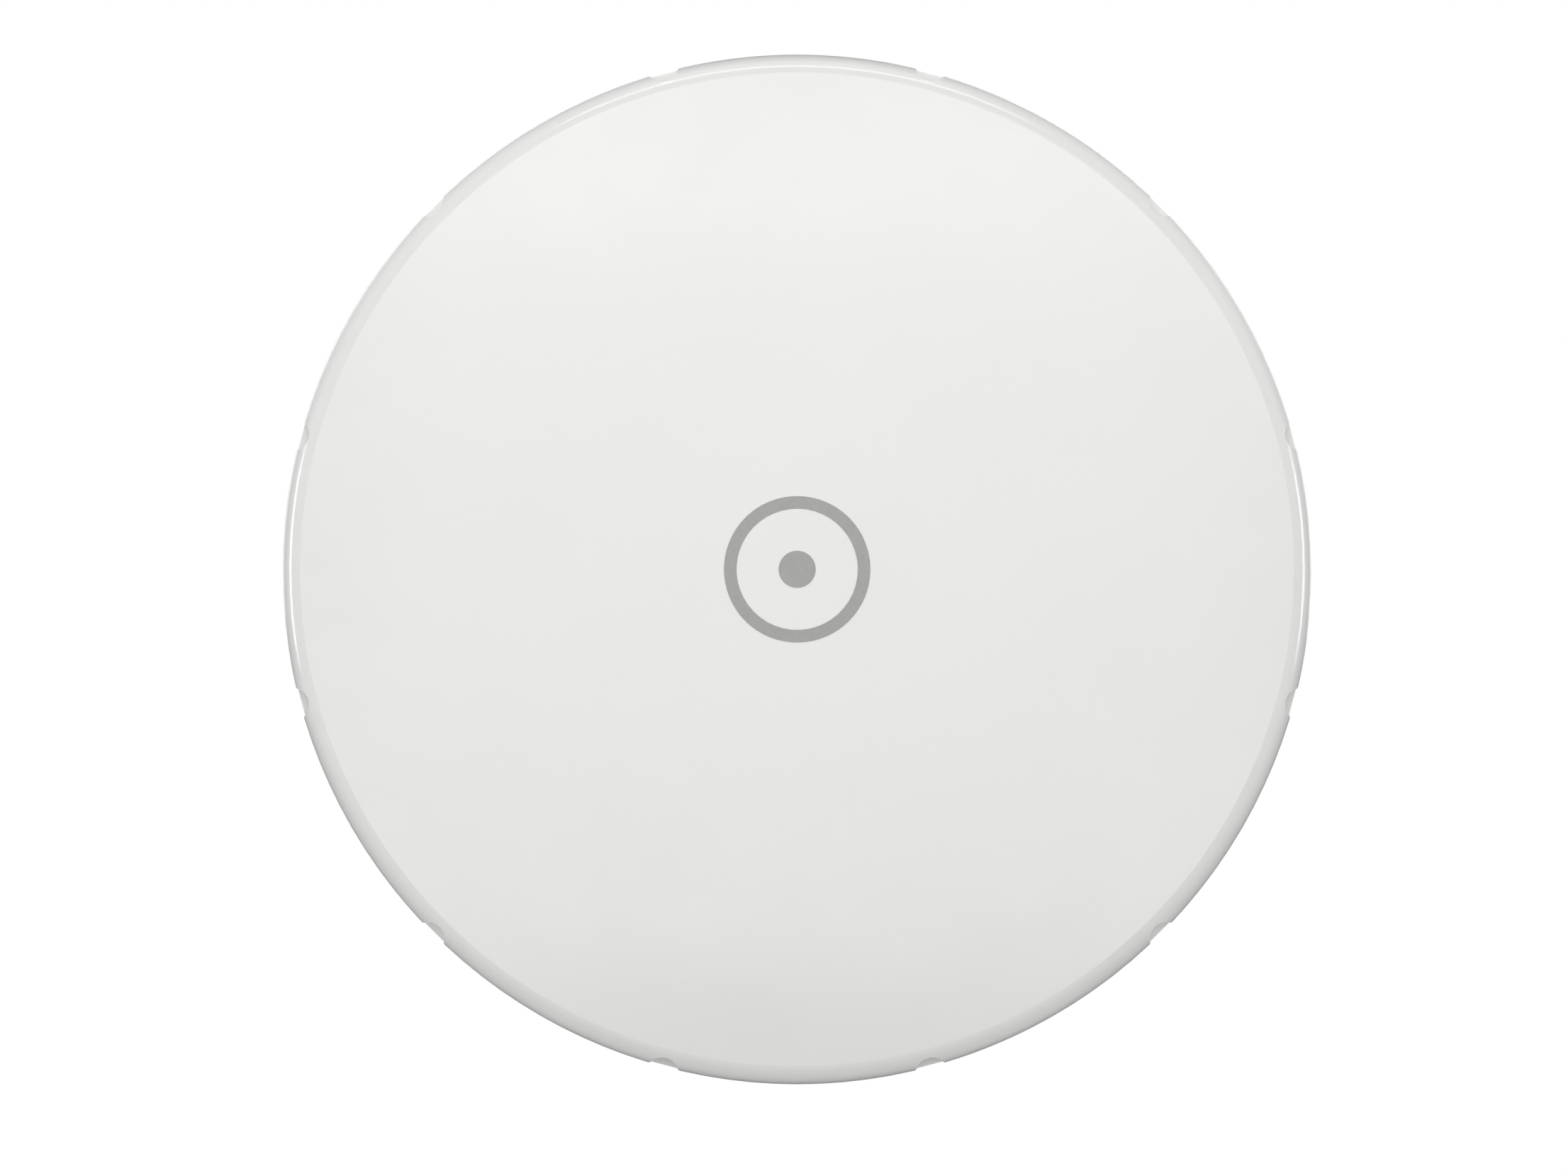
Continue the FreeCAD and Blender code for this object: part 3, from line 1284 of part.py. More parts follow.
def mast_bracket():
    """Pressed bracket: web, two forward ears for the tilt bolts and two toothed jaws."""
    body = new_body("MastBracket")
    web_front = d.web_y - d.plate_t
    web = new_sketch(body, "XZ_Plane", at=d.web_y)
    rounded_rectangle(web, -d.web_half, d.web_half, -d.bracket_half, d.bracket_half, 2)
    pad(body, web, d.plate_t)

    ear = new_sketch(body, "YZ_Plane", at=d.web_half - d.plate_t)
    lock_z = d.pivot_z - d.lock_radius
    points = [
        (d.web_y, d.ear_low),
        (d.web_y, d.ear_high),
        (web_front - 2, d.ear_high),
        (d.pivot_y, d.pivot_z + d.ear_pivot_r),
        (d.pivot_y - d.ear_pivot_r, d.pivot_z),
        (d.pivot_y - d.ear_lock_r, lock_z),
        (d.pivot_y, lock_z - d.ear_lock_r),
        (web_front - 2, d.ear_low),
    ]
    outline(ear, points, {3: d.ear_pivot_r, 5: d.ear_lock_r})
    clearance = 0.2
    for height in (d.pivot_z, lock_z):
        circle(ear, d.pivot_y, height, d.bolt_r + clearance)
    mirror(body, [pad(body, ear, d.plate_t)], "YZ_Plane")

    for floor in (d.bracket_half - d.plate_t, -d.bracket_half):
        jaw = new_sketch(body, "XY_Plane", at=floor)
        outline(jaw, jaw_points())
        pad(body, jaw, d.plate_t)

    bands = new_sketch(body, "XZ_Plane", at=d.web_y)
    tall = d.band_w / 2 + 0.8
    near, far = d.band_corner - 0.3, d.mast_r + d.band_t + 1
    for height in (d.band_z, -d.band_z):
        for left, right in ((near, far), (-far, -near)):
            rounded_rectangle(bands, left, right, height - tall, height + tall, 0.8)
    rounded_rectangle(bands, -9, 9, -7, 7, 3)
    pocket(body, bands, d.plate_t + 1)
    return export_as(body, "mast_bracket")


def tilt_bolt(prefix, z):
    """A bolt through all four ears, with a spacer tube, two washers and a lock nut."""
    gap = 0.1
    seat = d.web_half + d.ear_gap + d.plate_t + gap
    ear_in = d.web_half - d.plate_t
    hexagon_r = d.hex_flats / 2 / cosine(30)
    head_start = (seat + d.washer_t, d.pivot_y, z)
    head = prism(f"{prefix}Head", head_start, "X", hexagon_r, d.bolt_head_t)
    shank = turned_once(f"{prefix}Shank", bolt_shank(2 * (seat + d.washer_t)), head_start, "-X")
    export_as(fused(f"{prefix}Bolt", [head, shank]), f"{prefix}_bolt")

    bore = d.bolt_r + 0.1
    sleeve = [(bore, 0), (d.spacer_r, 0), (d.spacer_r, 2 * ear_in), (bore, 2 * ear_in)]
    tube = turned_once(f"{prefix}Spacer", sleeve, (-ear_in, d.pivot_y, z), "X")
    export_as(tube, f"{prefix}_spacer")

    ring = free_sketch(f"{prefix}WasherProfile")
    hole = d.bolt_r + 0.2
    outline(ring, [(hole, 0), (d.washer_r, 0), (d.washer_r, d.washer_t), (hole, d.washer_t)])
    washers = [
        turned(f"{prefix}Washer", ring, (seat, d.pivot_y, z), "X"),
        turned(f"{prefix}Washer", ring, (-seat, d.pivot_y, z), "-X"),
    ]
    export_as(grouped(f"{prefix}Washers", washers), f"{prefix}_washers")

    nut_start = (-(seat + d.washer_t), d.pivot_y, z)
    hexagon = prism(f"{prefix}NutBlank", nut_start, "-X", hexagon_r, d.nut_t)
    collar = rod(f"{prefix}NutCollar", nut_start, "-X", d.nut_collar_r, d.nut_collar_t)
    bore = rod(f"{prefix}NutBore", nut_start, "-X", d.bolt_r + 0.02, d.nut_collar_t + 1.8)
    nut = fused(f"{prefix}NutBody", [hexagon, collar])
    export_as(cut(f"{prefix}Nut", nut, bore), f"{prefix}_nut")


def bolt_shank(grip):
    """Half section of a plain shank of length grip, then a ringed end that stands out of the nut."""
    turns, pitch = 9, 1.0
    root_r, crest_r, tip_r = d.bolt_r - 0.45, d.bolt_r - 0.05, d.bolt_r - 0.7
    end = grip + d.nut_collar_t + 4
    points = [(0, 0), (d.bolt_r, 0), (d.bolt_r, grip)]
    for k in range(turns):
        points += [(root_r, grip + (k + 0.5) * pitch), (crest_r, grip + (k + 1) * pitch)]
    return points + [(tip_r, end), (0, end)]


# ---------------------------------------------------------------- band clamps

worm_y = d.mast_r + d.worm_lift + d.band_t


def clamp_band(side, z):
    """Steel band round the mast and through the web's slots, with its slotted free end."""
    body = new_body(f"{side}Band")
    sketch = new_sketch(body, "XY_Plane", at=z)
    turn_y = d.web_y
    for layer in (0.0, d.band_t):
        r = d.mast_r + layer
        corner = d.band_bend + layer
        points = [
            (r, 0), (0, r), (-r, 0), (-r, turn_y),
            (-d.band_corner, turn_y - corner), (d.band_corner, turn_y - corner), (r, turn_y),
        ]
        outline(sketch, points, {0: r, 1: r, 3: corner, 5: corner})
    pad(body, sketch, d.band_w, both_ways=True)

    tail = new_sketch(body, "XY_Plane", at=z)
    low, high = 52.0, 124.0
    inner, outer = d.mast_r + d.band_t - 0.02, d.mast_r + 2 * d.band_t
    points = [
        (outer * cosine(low), outer * sine(low)), (outer * cosine(high), outer * sine(high)),
        (inner * cosine(high), inner * sine(high)), (inner * cosine(low), inner * sine(low)),
    ]
    outline(tail, points, {0: outer, 2: -inner})
    pad(body, tail, d.band_w, both_ways=True)

    slots = new_sketch(body, "XY_Plane", at=z)
    slot_count, first, step, half = 13, 58, 5, 1.5
    reach, near = outer + 0.5, inner + 0.25
    for k in range(slot_count):
        middle = first + k * step
        a, b = middle - half, middle + half
        corners = [
            (reach * cosine(a), reach * sine(a)), (reach * cosine(b), reach * sine(b)),
            (near * cosine(b), near * sine(b)), (near * cosine(a), near * sine(a)),
        ]
        outline(slots, corners)
    pocket(body, slots, d.band_w * 0.62, both_ways=True)
    return export_as(body, f"{side}_clamp_band")


def clamp_housing(side, z):
    """Pressed housing that holds the worm over the band."""
    block = box(
        f"{side}HousingBlock",
        (-d.housing_half, d.housing_front, z - d.housing_side),
        (d.housing_half, worm_y, z + d.housing_side),
    )
    start = (-d.housing_half, worm_y, z)
    barrel = rod(f"{side}HousingBarrel", start, "X", d.barrel_r, 2 * d.housing_half)
    solid = fused(f"{side}HousingSolid", [block, barrel])
    bore_start = (-d.housing_half - 1, worm_y, z)
    bore = rod(f"{side}HousingBore", bore_start, "X", d.worm_r + 0.05, 2 * d.housing_half + 2)
    band_r = d.mast_r + 2 * d.band_t + 0.12
    band_way = rod(f"{side}HousingBandWay", (0, 0, z - d.band_w / 2), "Z", band_r, d.band_w)
    mast_way = rod(f"{side}HousingMastWay", (0, 0, z - 8), "Z", d.mast_r + 0.2, 16)
    window = box(f"{side}HousingWindow", (-2.6, worm_y + 3.2, z - 2.4), (2.6, worm_y + 7, z + 2.4))
    cutters = fused(f"{side}HousingCutters", [bore, band_way, mast_way, window])
    return export_as(cut(f"{side}Housing", solid, cutters), f"{side}_clamp_housing")


def clamp_screw(side, z):
    """Worm screw with a slotted hexagon head."""
    crest, root_r = d.worm_r, d.worm_r - 1.0
    points = [(0, 0), (root_r, 0)]
    turns = 8
    for k in range(turns):
        start = 0.4 + k * d.worm_pitch
        points += [(root_r, start), (crest, start + 0.5), (crest, start + 0.9), (root_r, start + 1.4)]
    neck = d.worm_len + 0.4
    flange = neck + d.worm_flange_t
    points += [(root_r, d.worm_len), (crest, d.worm_len), (crest, neck)]
    points += [(d.worm_flange_r, neck), (d.worm_flange_r, flange), (0, flange)]
    start_x = -(d.worm_len / 2)
    thread = turned_once(f"{side}Worm", points, (start_x, worm_y, z), "X")
    head_x = start_x + flange
    head_flats, head_t, slot_depth, slot_half = 7.0, 4.6, 1.4, 0.5
    head_r = dim(head_flats / 2) / cosine(30)
    head = prism(f"{side}WormHead", (head_x, worm_y, z), "X", head_r, head_t)
    floor = head_x + head_t - slot_depth
    slot_low = (floor, worm_y - 5, z - slot_half)
    slot_high = (floor + 2 * slot_depth, worm_y + 5, z + slot_half)
    slot = box(f"{side}WormSlot", slot_low, slot_high)
    solid = fused(f"{side}ScrewSolid", [thread, head])
    return export_as(cut(f"{side}Screw", solid, slot), f"{side}_clamp_screw")


# ---------------------------------------------------------------- build and write


def build():
    radome_cover()
    boresight_mark()
    radome_gasket()
    rear_housing()
    cover_gasket()
    dish_reflector()
    reflector_screws()
    feed_tube()
    feed_cone()
    subreflector()
    main_board()
    radio_module()
    radio_shield()
    processor_stack()
    small_components()
    ethernet_jack()
    jack_contacts()
    reset_switch()
    reset_plunger()
    light_pipe()
    electronics_cover()
    cover_screws()
    board_screws()
    bracket_inserts()
    cable_grommet()
    ground_terminal()
    service_door()
    door_seal()
    door_hinge_pin()
    tilt_bracket()
    bracket_screws()
    mast_bracket()
    tilt_bolt("pivot", d.pivot_z)
    tilt_bolt("lock", d.pivot_z - d.lock_radius)
    for side, height in (("upper", d.band_z), ("lower", -d.band_z)):
        clamp_band(side, height)
        clamp_housing(side, height)
        clamp_screw(side, height)


def check():
    """Stops the build if any object failed or any sub-part has no sound shape."""
    for obj in doc.Objects:
        if {"Invalid", "Error"} & set(obj.State):
            raise RuntimeError(f"{obj.Name} ({obj.Label}) failed: {obj.State}")
    for part in exports:
        if part.Shape.isNull() or not part.Shape.isValid() or not part.Shape.Solids:
            raise RuntimeError(f"{part.Label} has no sound shape")


def write():
    os.makedirs("parts", exist_ok=True)
    for part in exports:
        part.Shape.exportStep(os.path.join("parts", f"{part.Label}.step"))


build()
doc.recompute()
check()
write()
for part in exports:
    size = part.Shape.BoundBox
    print(f"{part.Label:22s} solids {len(part.Shape.Solids):2d}  volume {part.Shape.Volume:10.1f}"
          f"  {size.XLength:6.1f} x {size.YLength:6.1f} x {size.ZLength:6.1f}")
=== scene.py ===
"""Looks of the outdoor wireless bridge: materials, finer fasteners, studio and camera.

Metres, in the CAD's frame: the radio faces -Y, and +Z is up along the mast's axis.
"""

import json
import math

import bmesh
import bpy
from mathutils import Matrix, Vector


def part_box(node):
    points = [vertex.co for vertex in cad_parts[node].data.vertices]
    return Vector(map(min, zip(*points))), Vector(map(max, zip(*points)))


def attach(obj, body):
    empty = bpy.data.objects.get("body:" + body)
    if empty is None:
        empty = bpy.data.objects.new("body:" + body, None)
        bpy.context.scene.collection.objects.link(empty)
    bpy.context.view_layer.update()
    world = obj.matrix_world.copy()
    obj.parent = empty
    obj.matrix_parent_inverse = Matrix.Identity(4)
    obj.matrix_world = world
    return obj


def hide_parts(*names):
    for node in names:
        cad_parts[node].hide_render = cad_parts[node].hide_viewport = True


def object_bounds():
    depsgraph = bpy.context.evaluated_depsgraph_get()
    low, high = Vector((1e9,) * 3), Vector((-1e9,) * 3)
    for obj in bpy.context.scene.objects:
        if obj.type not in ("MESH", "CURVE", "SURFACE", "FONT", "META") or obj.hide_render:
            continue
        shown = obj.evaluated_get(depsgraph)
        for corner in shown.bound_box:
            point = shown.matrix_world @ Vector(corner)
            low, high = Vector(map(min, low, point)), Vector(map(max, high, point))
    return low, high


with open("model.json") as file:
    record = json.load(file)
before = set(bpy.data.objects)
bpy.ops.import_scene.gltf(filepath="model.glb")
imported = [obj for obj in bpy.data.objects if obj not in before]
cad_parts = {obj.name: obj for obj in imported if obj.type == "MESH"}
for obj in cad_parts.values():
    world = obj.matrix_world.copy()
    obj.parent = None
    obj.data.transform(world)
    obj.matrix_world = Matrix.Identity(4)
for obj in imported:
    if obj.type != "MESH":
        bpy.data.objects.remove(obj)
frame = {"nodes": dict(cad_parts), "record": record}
cad_low, cad_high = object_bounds()
MM = 0.001

# ---------------------------------------------------------------- material helpers

# A noise node's output lies mostly between these two.
NOISE_LOW, NOISE_HIGH = 0.3, 0.7
# The wave node draws a ring every 0.314 / scale, so its scale is 1 / (this * pitch).
RING_SCALE = 3.2


def map_range(nodes, start, end, low, high):
    """A node that takes start..end to low..high."""
    node = nodes.new("ShaderNodeMapRange")
    numbers = {"From Min": start, "From Max": end, "To Min": low, "To Max": high}
    for socket, number in numbers.items():
        node.inputs[socket].default_value = number
    return node


class Shader:
    """A Principled material that is built up from procedural layers in object coordinates."""

    def __init__(self, name, colour, roughness, metallic=0.0, **sockets):
        self.material = bpy.data.materials.new(name)
        self.material.use_nodes = True
        self.nodes = self.material.node_tree.nodes
        self.links = self.material.node_tree.links
        self.bsdf = self.nodes["Principled BSDF"]
        self.set("Base Color", (*colour, 1.0))
        self.set("Roughness", roughness)
        self.set("Metallic", metallic)
        for socket, value in sockets.items():
            self.set(socket.replace("_", " "), value)
        self.coords = self.nodes.new("ShaderNodeTexCoord").outputs["Object"]
        self.bump = None

    def set(self, socket, value):
        self.bsdf.inputs[socket].default_value = value

    def link(self, output, socket):
        self.links.new(output, socket)

    def stretched(self, stretch, turn=(0, 0, 0)):
        """The coordinates scaled and turned: a scale below 1 draws the pattern out."""
        mapping = self.nodes.new("ShaderNodeMapping")
        mapping.inputs["Scale"].default_value = stretch
        mapping.inputs["Rotation"].default_value = turn
        self.link(self.coords, mapping.inputs["Vector"])
        return mapping.outputs["Vector"]

    def noise(self, size, detail=3.0, stretch=None, rough=0.55):
        """Noise whose grains are about size metres across."""
        node = self.nodes.new("ShaderNodeTexNoise")
        node.inputs["Scale"].default_value = 1.0 / size
        node.inputs["Detail"].default_value = detail
        node.inputs["Roughness"].default_value = rough
        self.link(self.stretched(stretch) if stretch else self.coords, node.inputs["Vector"])
        return node.outputs["Fac"]

    def cells(self, size):
        """Distance to the nearest point of a scatter about size metres apart."""
        node = self.nodes.new("ShaderNodeTexVoronoi")
        node.inputs["Scale"].default_value = 1.0 / size
        self.link(self.coords, node.inputs["Vector"])
        return node.outputs["Distance"]

    def rings(self, pitch, axis):
        """Fine turning rings round an axis of the frame."""
        node = self.nodes.new("ShaderNodeTexWave")
        node.wave_type = "RINGS"
        node.rings_direction = axis
        node.inputs["Scale"].default_value = 1.0 / (pitch * RING_SCALE)
        node.inputs["Distortion"].default_value = 0.6
        node.inputs["Detail"].default_value = 2.0
        self.link(self.coords, node.inputs["Vector"])
        return node.outputs["Fac"]

    def remap(self, value, low, high, start=NOISE_LOW, end=NOISE_HIGH):
        node = map_range(self.nodes, start, end, low, high)
        self.link(value, node.inputs["Value"])
        return node.outputs["Result"]

    def tint(self, value, colours, start=NOISE_LOW, end=NOISE_HIGH):
        """Base colour that goes from one colour to the other as value goes from start to end."""
        ramp = self.nodes.new("ShaderNodeValToRGB")
        for stop, place, colour in zip(ramp.color_ramp.elements, (start, end), colours):
            stop.position = place
            stop.color = (*colour, 1.0)
        self.link(value, ramp.inputs["Fac"])
        self.link(ramp.outputs["Color"], self.bsdf.inputs["Base Color"])

    def rough(self, value, low, high, start=NOISE_LOW, end=NOISE_HIGH):
        """Roughness that goes from low to high as value goes from start to end."""
        self.link(self.remap(value, low, high, start, end), self.bsdf.inputs["Roughness"])

    def relief(self, value, depth, strength=1.0):
        """Adds a bump layer whose height is depth metres."""
        node = self.nodes.new("ShaderNodeBump")
        node.inputs["Strength"].default_value = strength
        node.inputs["Distance"].default_value = depth
        self.link(value, node.inputs["Height"])
        if self.bump:
            self.link(self.bump, node.inputs["Normal"])
        self.bump = node.outputs["Normal"]
        self.link(self.bump, self.bsdf.inputs["Normal"])


def shade(colour, factor):
    return tuple(c * factor for c in colour)


# ---------------------------------------------------------------- materials


def moulded_plastic(name, colour, roughness, grain, depth):
    """Injection-moulded plastic: spark-eroded grain, faint flow mottling."""
    s = Shader(name, colour, roughness, IOR=1.47)
    mottle = s.noise(28 * MM, 4)
    s.tint(mottle, (shade(colour, 0.985), colour))
    s.rough(s.noise(9 * MM, 3), roughness - 0.03, roughness + 0.04)
    s.relief(s.noise(grain, 2), depth, 0.35)
    s.relief(s.cells(grain * 2.3), depth * 0.6, 0.2)
    return s.material


def printed_mark():
    """Grey print with slightly uneven ink."""
    colour = (0.40, 0.40, 0.385)
    s = Shader("mark_ink", colour, 0.42, IOR=1.46)
    s.tint(s.noise(0.5 * MM, 4), (shade(colour, 0.94), shade(colour, 1.04)))
    s.relief(s.noise(0.25 * MM, 2), 0.01 * MM, 0.4)
    return s.material


def rubber(name, colour, grain=0.35 * MM):
    """Dull moulded rubber, slightly mottled."""
    s = Shader(name, colour, 0.72, IOR=1.5)
    s.tint(s.noise(3 * MM, 4), (shade(colour, 0.8), shade(colour, 1.2)))
    s.relief(s.noise(grain, 3), 0.03 * MM, 0.6)
    return s.material


def foam():
    """Closed-cell foam: dark pores in a dull skin."""
    colour = (0.045, 0.045, 0.048)
    s = Shader("foam_seal", colour, 0.9)
    pores = s.cells(0.45 * MM)
    s.tint(pores, (shade(colour, 0.35), shade(colour, 1.7)), 0.05, 0.6)
    s.relief(pores, 0.2 * MM, 0.8)
    return s.material


def powder_coat(name, colour):
    """Baked powder paint: orange peel, with a faint speckle."""
    s = Shader(name, colour, 0.46, IOR=1.5)
    s.tint(s.noise(0.4 * MM, 3), (shade(colour, 0.96), shade(colour, 1.02)))
    s.rough(s.noise(6 * MM, 3), 0.40, 0.52)
    s.relief(s.noise(0.9 * MM, 2, rough=0.4), 0.03 * MM, 0.5)
    s.relief(s.noise(0.25 * MM, 2), 0.008 * MM, 0.4)
    return s.material


def brushed(name, colour, stretch, roughness=0.33, line=0.12 * MM):
    """Rolled or brushed metal: long fine scratches along one direction."""
    s = Shader(name, colour, roughness, metallic=1.0)
    lines = s.noise(line, 4, stretch)
    s.tint(s.noise(7 * MM, 3), (shade(colour, 0.94), shade(colour, 1.03)))
    s.rough(lines, roughness - 0.04, roughness + 0.10)
    s.relief(lines, 0.003 * MM, 0.35)
    return s.material


def plated(name, colour, roughness=0.36, grain=1.1 * MM):
    """Zinc or tin plate: mottled spangle and a soft haze."""
    s = Shader(name, colour, roughness, metallic=1.0)
    s.tint(s.noise(1.5 * grain, 4), (shade(colour, 0.90), shade(colour, 1.05)))
    s.rough(s.cells(grain), roughness - 0.05, roughness + 0.10, 0.1, 0.8)
    s.relief(s.noise(0.3 * grain, 3), 0.008 * grain, 0.3)
    return s.material


def turned(name, colour, axis, roughness=0.28, pitch=0.35 * MM, depth=0.006 * MM):
    """Turned or spun metal: fine rings round its axis."""
    s = Shader(name, colour, roughness, metallic=1.0)
    rings = s.rings(pitch, axis)
    s.tint(s.noise(12 * MM, 3), (shade(colour, 0.93), shade(colour, 1.03)))
    s.rough(rings, roughness - 0.05, roughness + 0.1, 0.0, 1.0)
    s.relief(rings, depth, 0.5)
    return s.material


# The brick pattern's scale makes its cells 1.9 x 1.0 mm. The copper between them reaches into each
# cell by the second number, which is 0.35 mm at that scale.
TRACE_SCALE, TRACE_REACH = 260.0, 0.09


def circuit_board():
    """Solder mask over copper pour and traces."""
    mask, copper = (0.008, 0.055, 0.026), (0.016, 0.10, 0.045)
    s = Shader("circuit_board", mask, 0.32, IOR=1.55)
    brick = s.nodes.new("ShaderNodeTexBrick")
    brick.inputs["Scale"].default_value = TRACE_SCALE
    brick.inputs["Mortar Size"].default_value = TRACE_REACH
    brick.inputs["Color1"].default_value = (*mask, 1.0)
    brick.inputs["Color2"].default_value = (*shade(mask, 1.35), 1.0)
    brick.inputs["Mortar"].default_value = (*copper, 1.0)
    s.link(s.stretched((1, 1, 1), (math.pi / 2, 0, 0)), brick.inputs["Vector"])
    s.link(brick.outputs["Color"], s.bsdf.inputs["Base Color"])
    s.relief(brick.outputs["Fac"], 0.03 * MM, 0.5)
    s.relief(s.noise(0.5 * MM, 3), 0.008 * MM, 0.5)
    return s.material


def epoxy(name, colour=(0.014, 0.014, 0.016)):
    """Moulded chip body: fine sandy grain."""
    s = Shader(name, colour, 0.5, IOR=1.52)
    s.tint(s.noise(1.5 * MM, 4), (shade(colour, 0.8), shade(colour, 1.5)))
    s.rough(s.noise(0.6 * MM, 3), 0.42, 0.62)
    s.relief(s.noise(0.12 * MM, 3), 0.01 * MM, 0.6)
    return s.material


def glazed(name, colour, roughness=0.15):
    """Glazed ceramic or polished resin, slightly wavy."""
    s = Shader(name, colour, roughness, IOR=1.52)
    s.tint(s.noise(2 * MM, 3), (shade(colour, 0.93), colour))
    s.rough(s.noise(1 * MM, 3), roughness - 0.05, roughness + 0.1)
    s.relief(s.noise(0.6 * MM, 2), 0.008 * MM, 0.4)
    return s.material


def clear_moulding():
    """Clear acrylic, lightly hazed."""
    s = Shader("clear_acrylic", (0.95, 0.97, 0.97), 0.08, IOR=1.49)
    s.set("Transmission Weight", 0.6)
    s.rough(s.noise(1.2 * MM, 3), 0.04, 0.16)
    s.relief(s.noise(0.8 * MM, 2), 0.01 * MM, 0.4)
    return s.material


def thermal_silicone():
    """Soft blue-grey heat pad with a dimpled face."""
    colour = (0.26, 0.32, 0.40)
    s = Shader("thermal_silicone", colour, 0.6)
    s.tint(s.noise(0.8 * MM, 4), (shade(colour, 0.85), shade(colour, 1.1)))
    s.relief(s.cells(0.5 * MM), 0.03 * MM, 0.5)
    return s.material


WHITE = (0.905, 0.905, 0.895)
STEEL = (0.58, 0.575, 0.565)
# Scales that draw noise out into lines: along an axis, or round the mast, as on a band.
ALONG_X, ALONG_Z, ROUND_MAST = (0.03, 1, 1), (1, 1, 0.03), (1, 1, 70.0)


def make_materials():
    """Every material slot's finish, by the slot's name."""
    return {
        "radome_plastic": moulded_plastic("radome_plastic", WHITE, 0.17, 0.5 * MM, 0.008 * MM),
        "housing_plastic": moulded_plastic(
            "housing_plastic", shade(WHITE, 0.97), 0.36, 0.4 * MM, 0.025 * MM
        ),
        "door_plastic": moulded_plastic(
            "door_plastic", shade(WHITE, 0.94), 0.44, 0.4 * MM, 0.03 * MM
        ),
        "mark_ink": printed_mark(),
        "seal_rubber": rubber("seal_rubber", (0.012, 0.012, 0.012)),
        "foam_seal": foam(),
        "grommet_rubber": rubber("grommet_rubber", (0.018, 0.018, 0.018)),
        "reflector_aluminium": turned(
            "reflector_aluminium", (0.80, 0.81, 0.82), "Y", 0.30, 0.6 * MM, 0.001 * MM
        ),
        "feed_aluminium": turned("feed_aluminium", (0.74, 0.74, 0.73), "Y"),
        "feed_plastic": moulded_plastic(
            "feed_plastic", (0.78, 0.76, 0.68), 0.35, 0.6 * MM, 0.01 * MM
        ),
        "circuit_board": circuit_board(),
        "radio_ceramic": epoxy("radio_ceramic", (0.03, 0.036, 0.03)),
        "shield_can": brushed("shield_can", (0.66, 0.65, 0.62), ALONG_X),
        "chip_epoxy": epoxy("chip_epoxy"),
        "thermal_silicone": thermal_silicone(),
        "spreader_aluminium": brushed("spreader_aluminium", (0.70, 0.71, 0.72), ALONG_Z),
        "transformer_black": epoxy("transformer_black", (0.018, 0.018, 0.02)),
        "inductor_ferrite": epoxy("inductor_ferrite", (0.06, 0.06, 0.062)),
        "guard_ceramic": glazed("guard_ceramic", (0.78, 0.76, 0.70)),
        "capacitor_can": brushed("capacitor_can", (0.66, 0.67, 0.70), ALONG_X, 0.22),
        "led_resin": glazed("led_resin", (0.80, 0.83, 0.76), 0.12),
        "jack_shell": brushed("jack_shell", (0.66, 0.655, 0.64), ALONG_Z, 0.30),
        "contact_gold": brushed("contact_gold", (0.83, 0.60, 0.22), ALONG_Z, 0.22),
        "switch_black": epoxy("switch_black", (0.02, 0.02, 0.02)),
        "button_plastic": moulded_plastic(
            "button_plastic", (0.50, 0.03, 0.02), 0.38, 0.3 * MM, 0.02 * MM
        ),
        "clear_acrylic": clear_moulding(),
        "stainless_screw": plated("stainless_screw", STEEL, 0.30, 0.3 * MM),
        "insert_brass": turned("insert_brass", (0.75, 0.53, 0.20), "Y", 0.3),
        "bracket_paint": powder_coat("bracket_paint", (0.74, 0.74, 0.73)),
        "zinc_bolt": plated("zinc_bolt", (0.60, 0.61, 0.62), 0.34),
        "band_steel": brushed("band_steel", (0.63, 0.63, 0.625), ROUND_MAST, 0.25, 9 * MM),
        "worm_steel": plated("worm_steel", (0.56, 0.57, 0.58), 0.30),
    }


def dress_frame(materials):
    """Gives every CAD node the finished material of its slot."""
    for part in frame["record"]["subparts"]:
        node = frame["nodes"][part["node"]]
        node.data.materials.clear()
        node.data.materials.append(materials[part["material_slot"]])


# ---------------------------------------------------------------- finer fasteners

# Sides of the round sections.
SIDES, FLANGE_SIDES, RING_SIDES = 48, 96, 64
# Distance between two stations along a thread.
WORM_STEP, BOLT_STEP = 0.12 * MM, 0.07 * MM
# On the way from the middle of a thread's root (0) to its crest (1), where its flank starts, and
# how much of the way the flank takes.
FLANK_START, FLANK_SPAN = 0.22, 0.42
# Radius of a chamfered head at its end face, as a share of half its width across flats.
FACE_SHARE = 0.97


def add_object(name, data):
    """A new object in the scene."""
    item = bpy.data.objects.new(name, data)
    bpy.context.scene.collection.objects.link(item)
    return item


def mesh_object(name, bm, material, body, smooth_angle=35):
    """Turns bm into a piece that rides on body, smooth but for its sharp edges."""
    bmesh.ops.recalc_face_normals(bm, faces=bm.faces)
    mesh = bpy.data.meshes.new(name)
    bm.to_mesh(mesh)
    bm.free()
    piece = add_object(name, mesh)
    mesh.materials.append(material)
    mesh.shade_smooth()
    mesh.set_sharp_from_angle(angle=math.radians(smooth_angle))
    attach(piece, body)
    return piece


def skin(bm, stations, radius_at, turns, place):
    """A closed round solid along an axis: radius_at(station, angle) is its radius."""
    loops = []
    for station in stations:
        angles = [2 * math.pi * k / turns for k in range(turns)]
        loops.append([bm.verts.new(place(station, a, radius_at(station, a))) for a in angles])
    for low, high in zip(loops, loops[1:]):
        for k in range(turns):
            after = (k + 1) % turns
            bm.faces.new((low[k], low[after], high[after], high[k]))
    bm.faces.new(loops[0])
    bm.faces.new(loops[-1][::-1])


def steps(start, end, size):
    """Even stations from start to end, about size apart."""
    count = max(1, round(abs(end - start) / size))
    return [start + (end - start) * k / count for k in range(count + 1)]


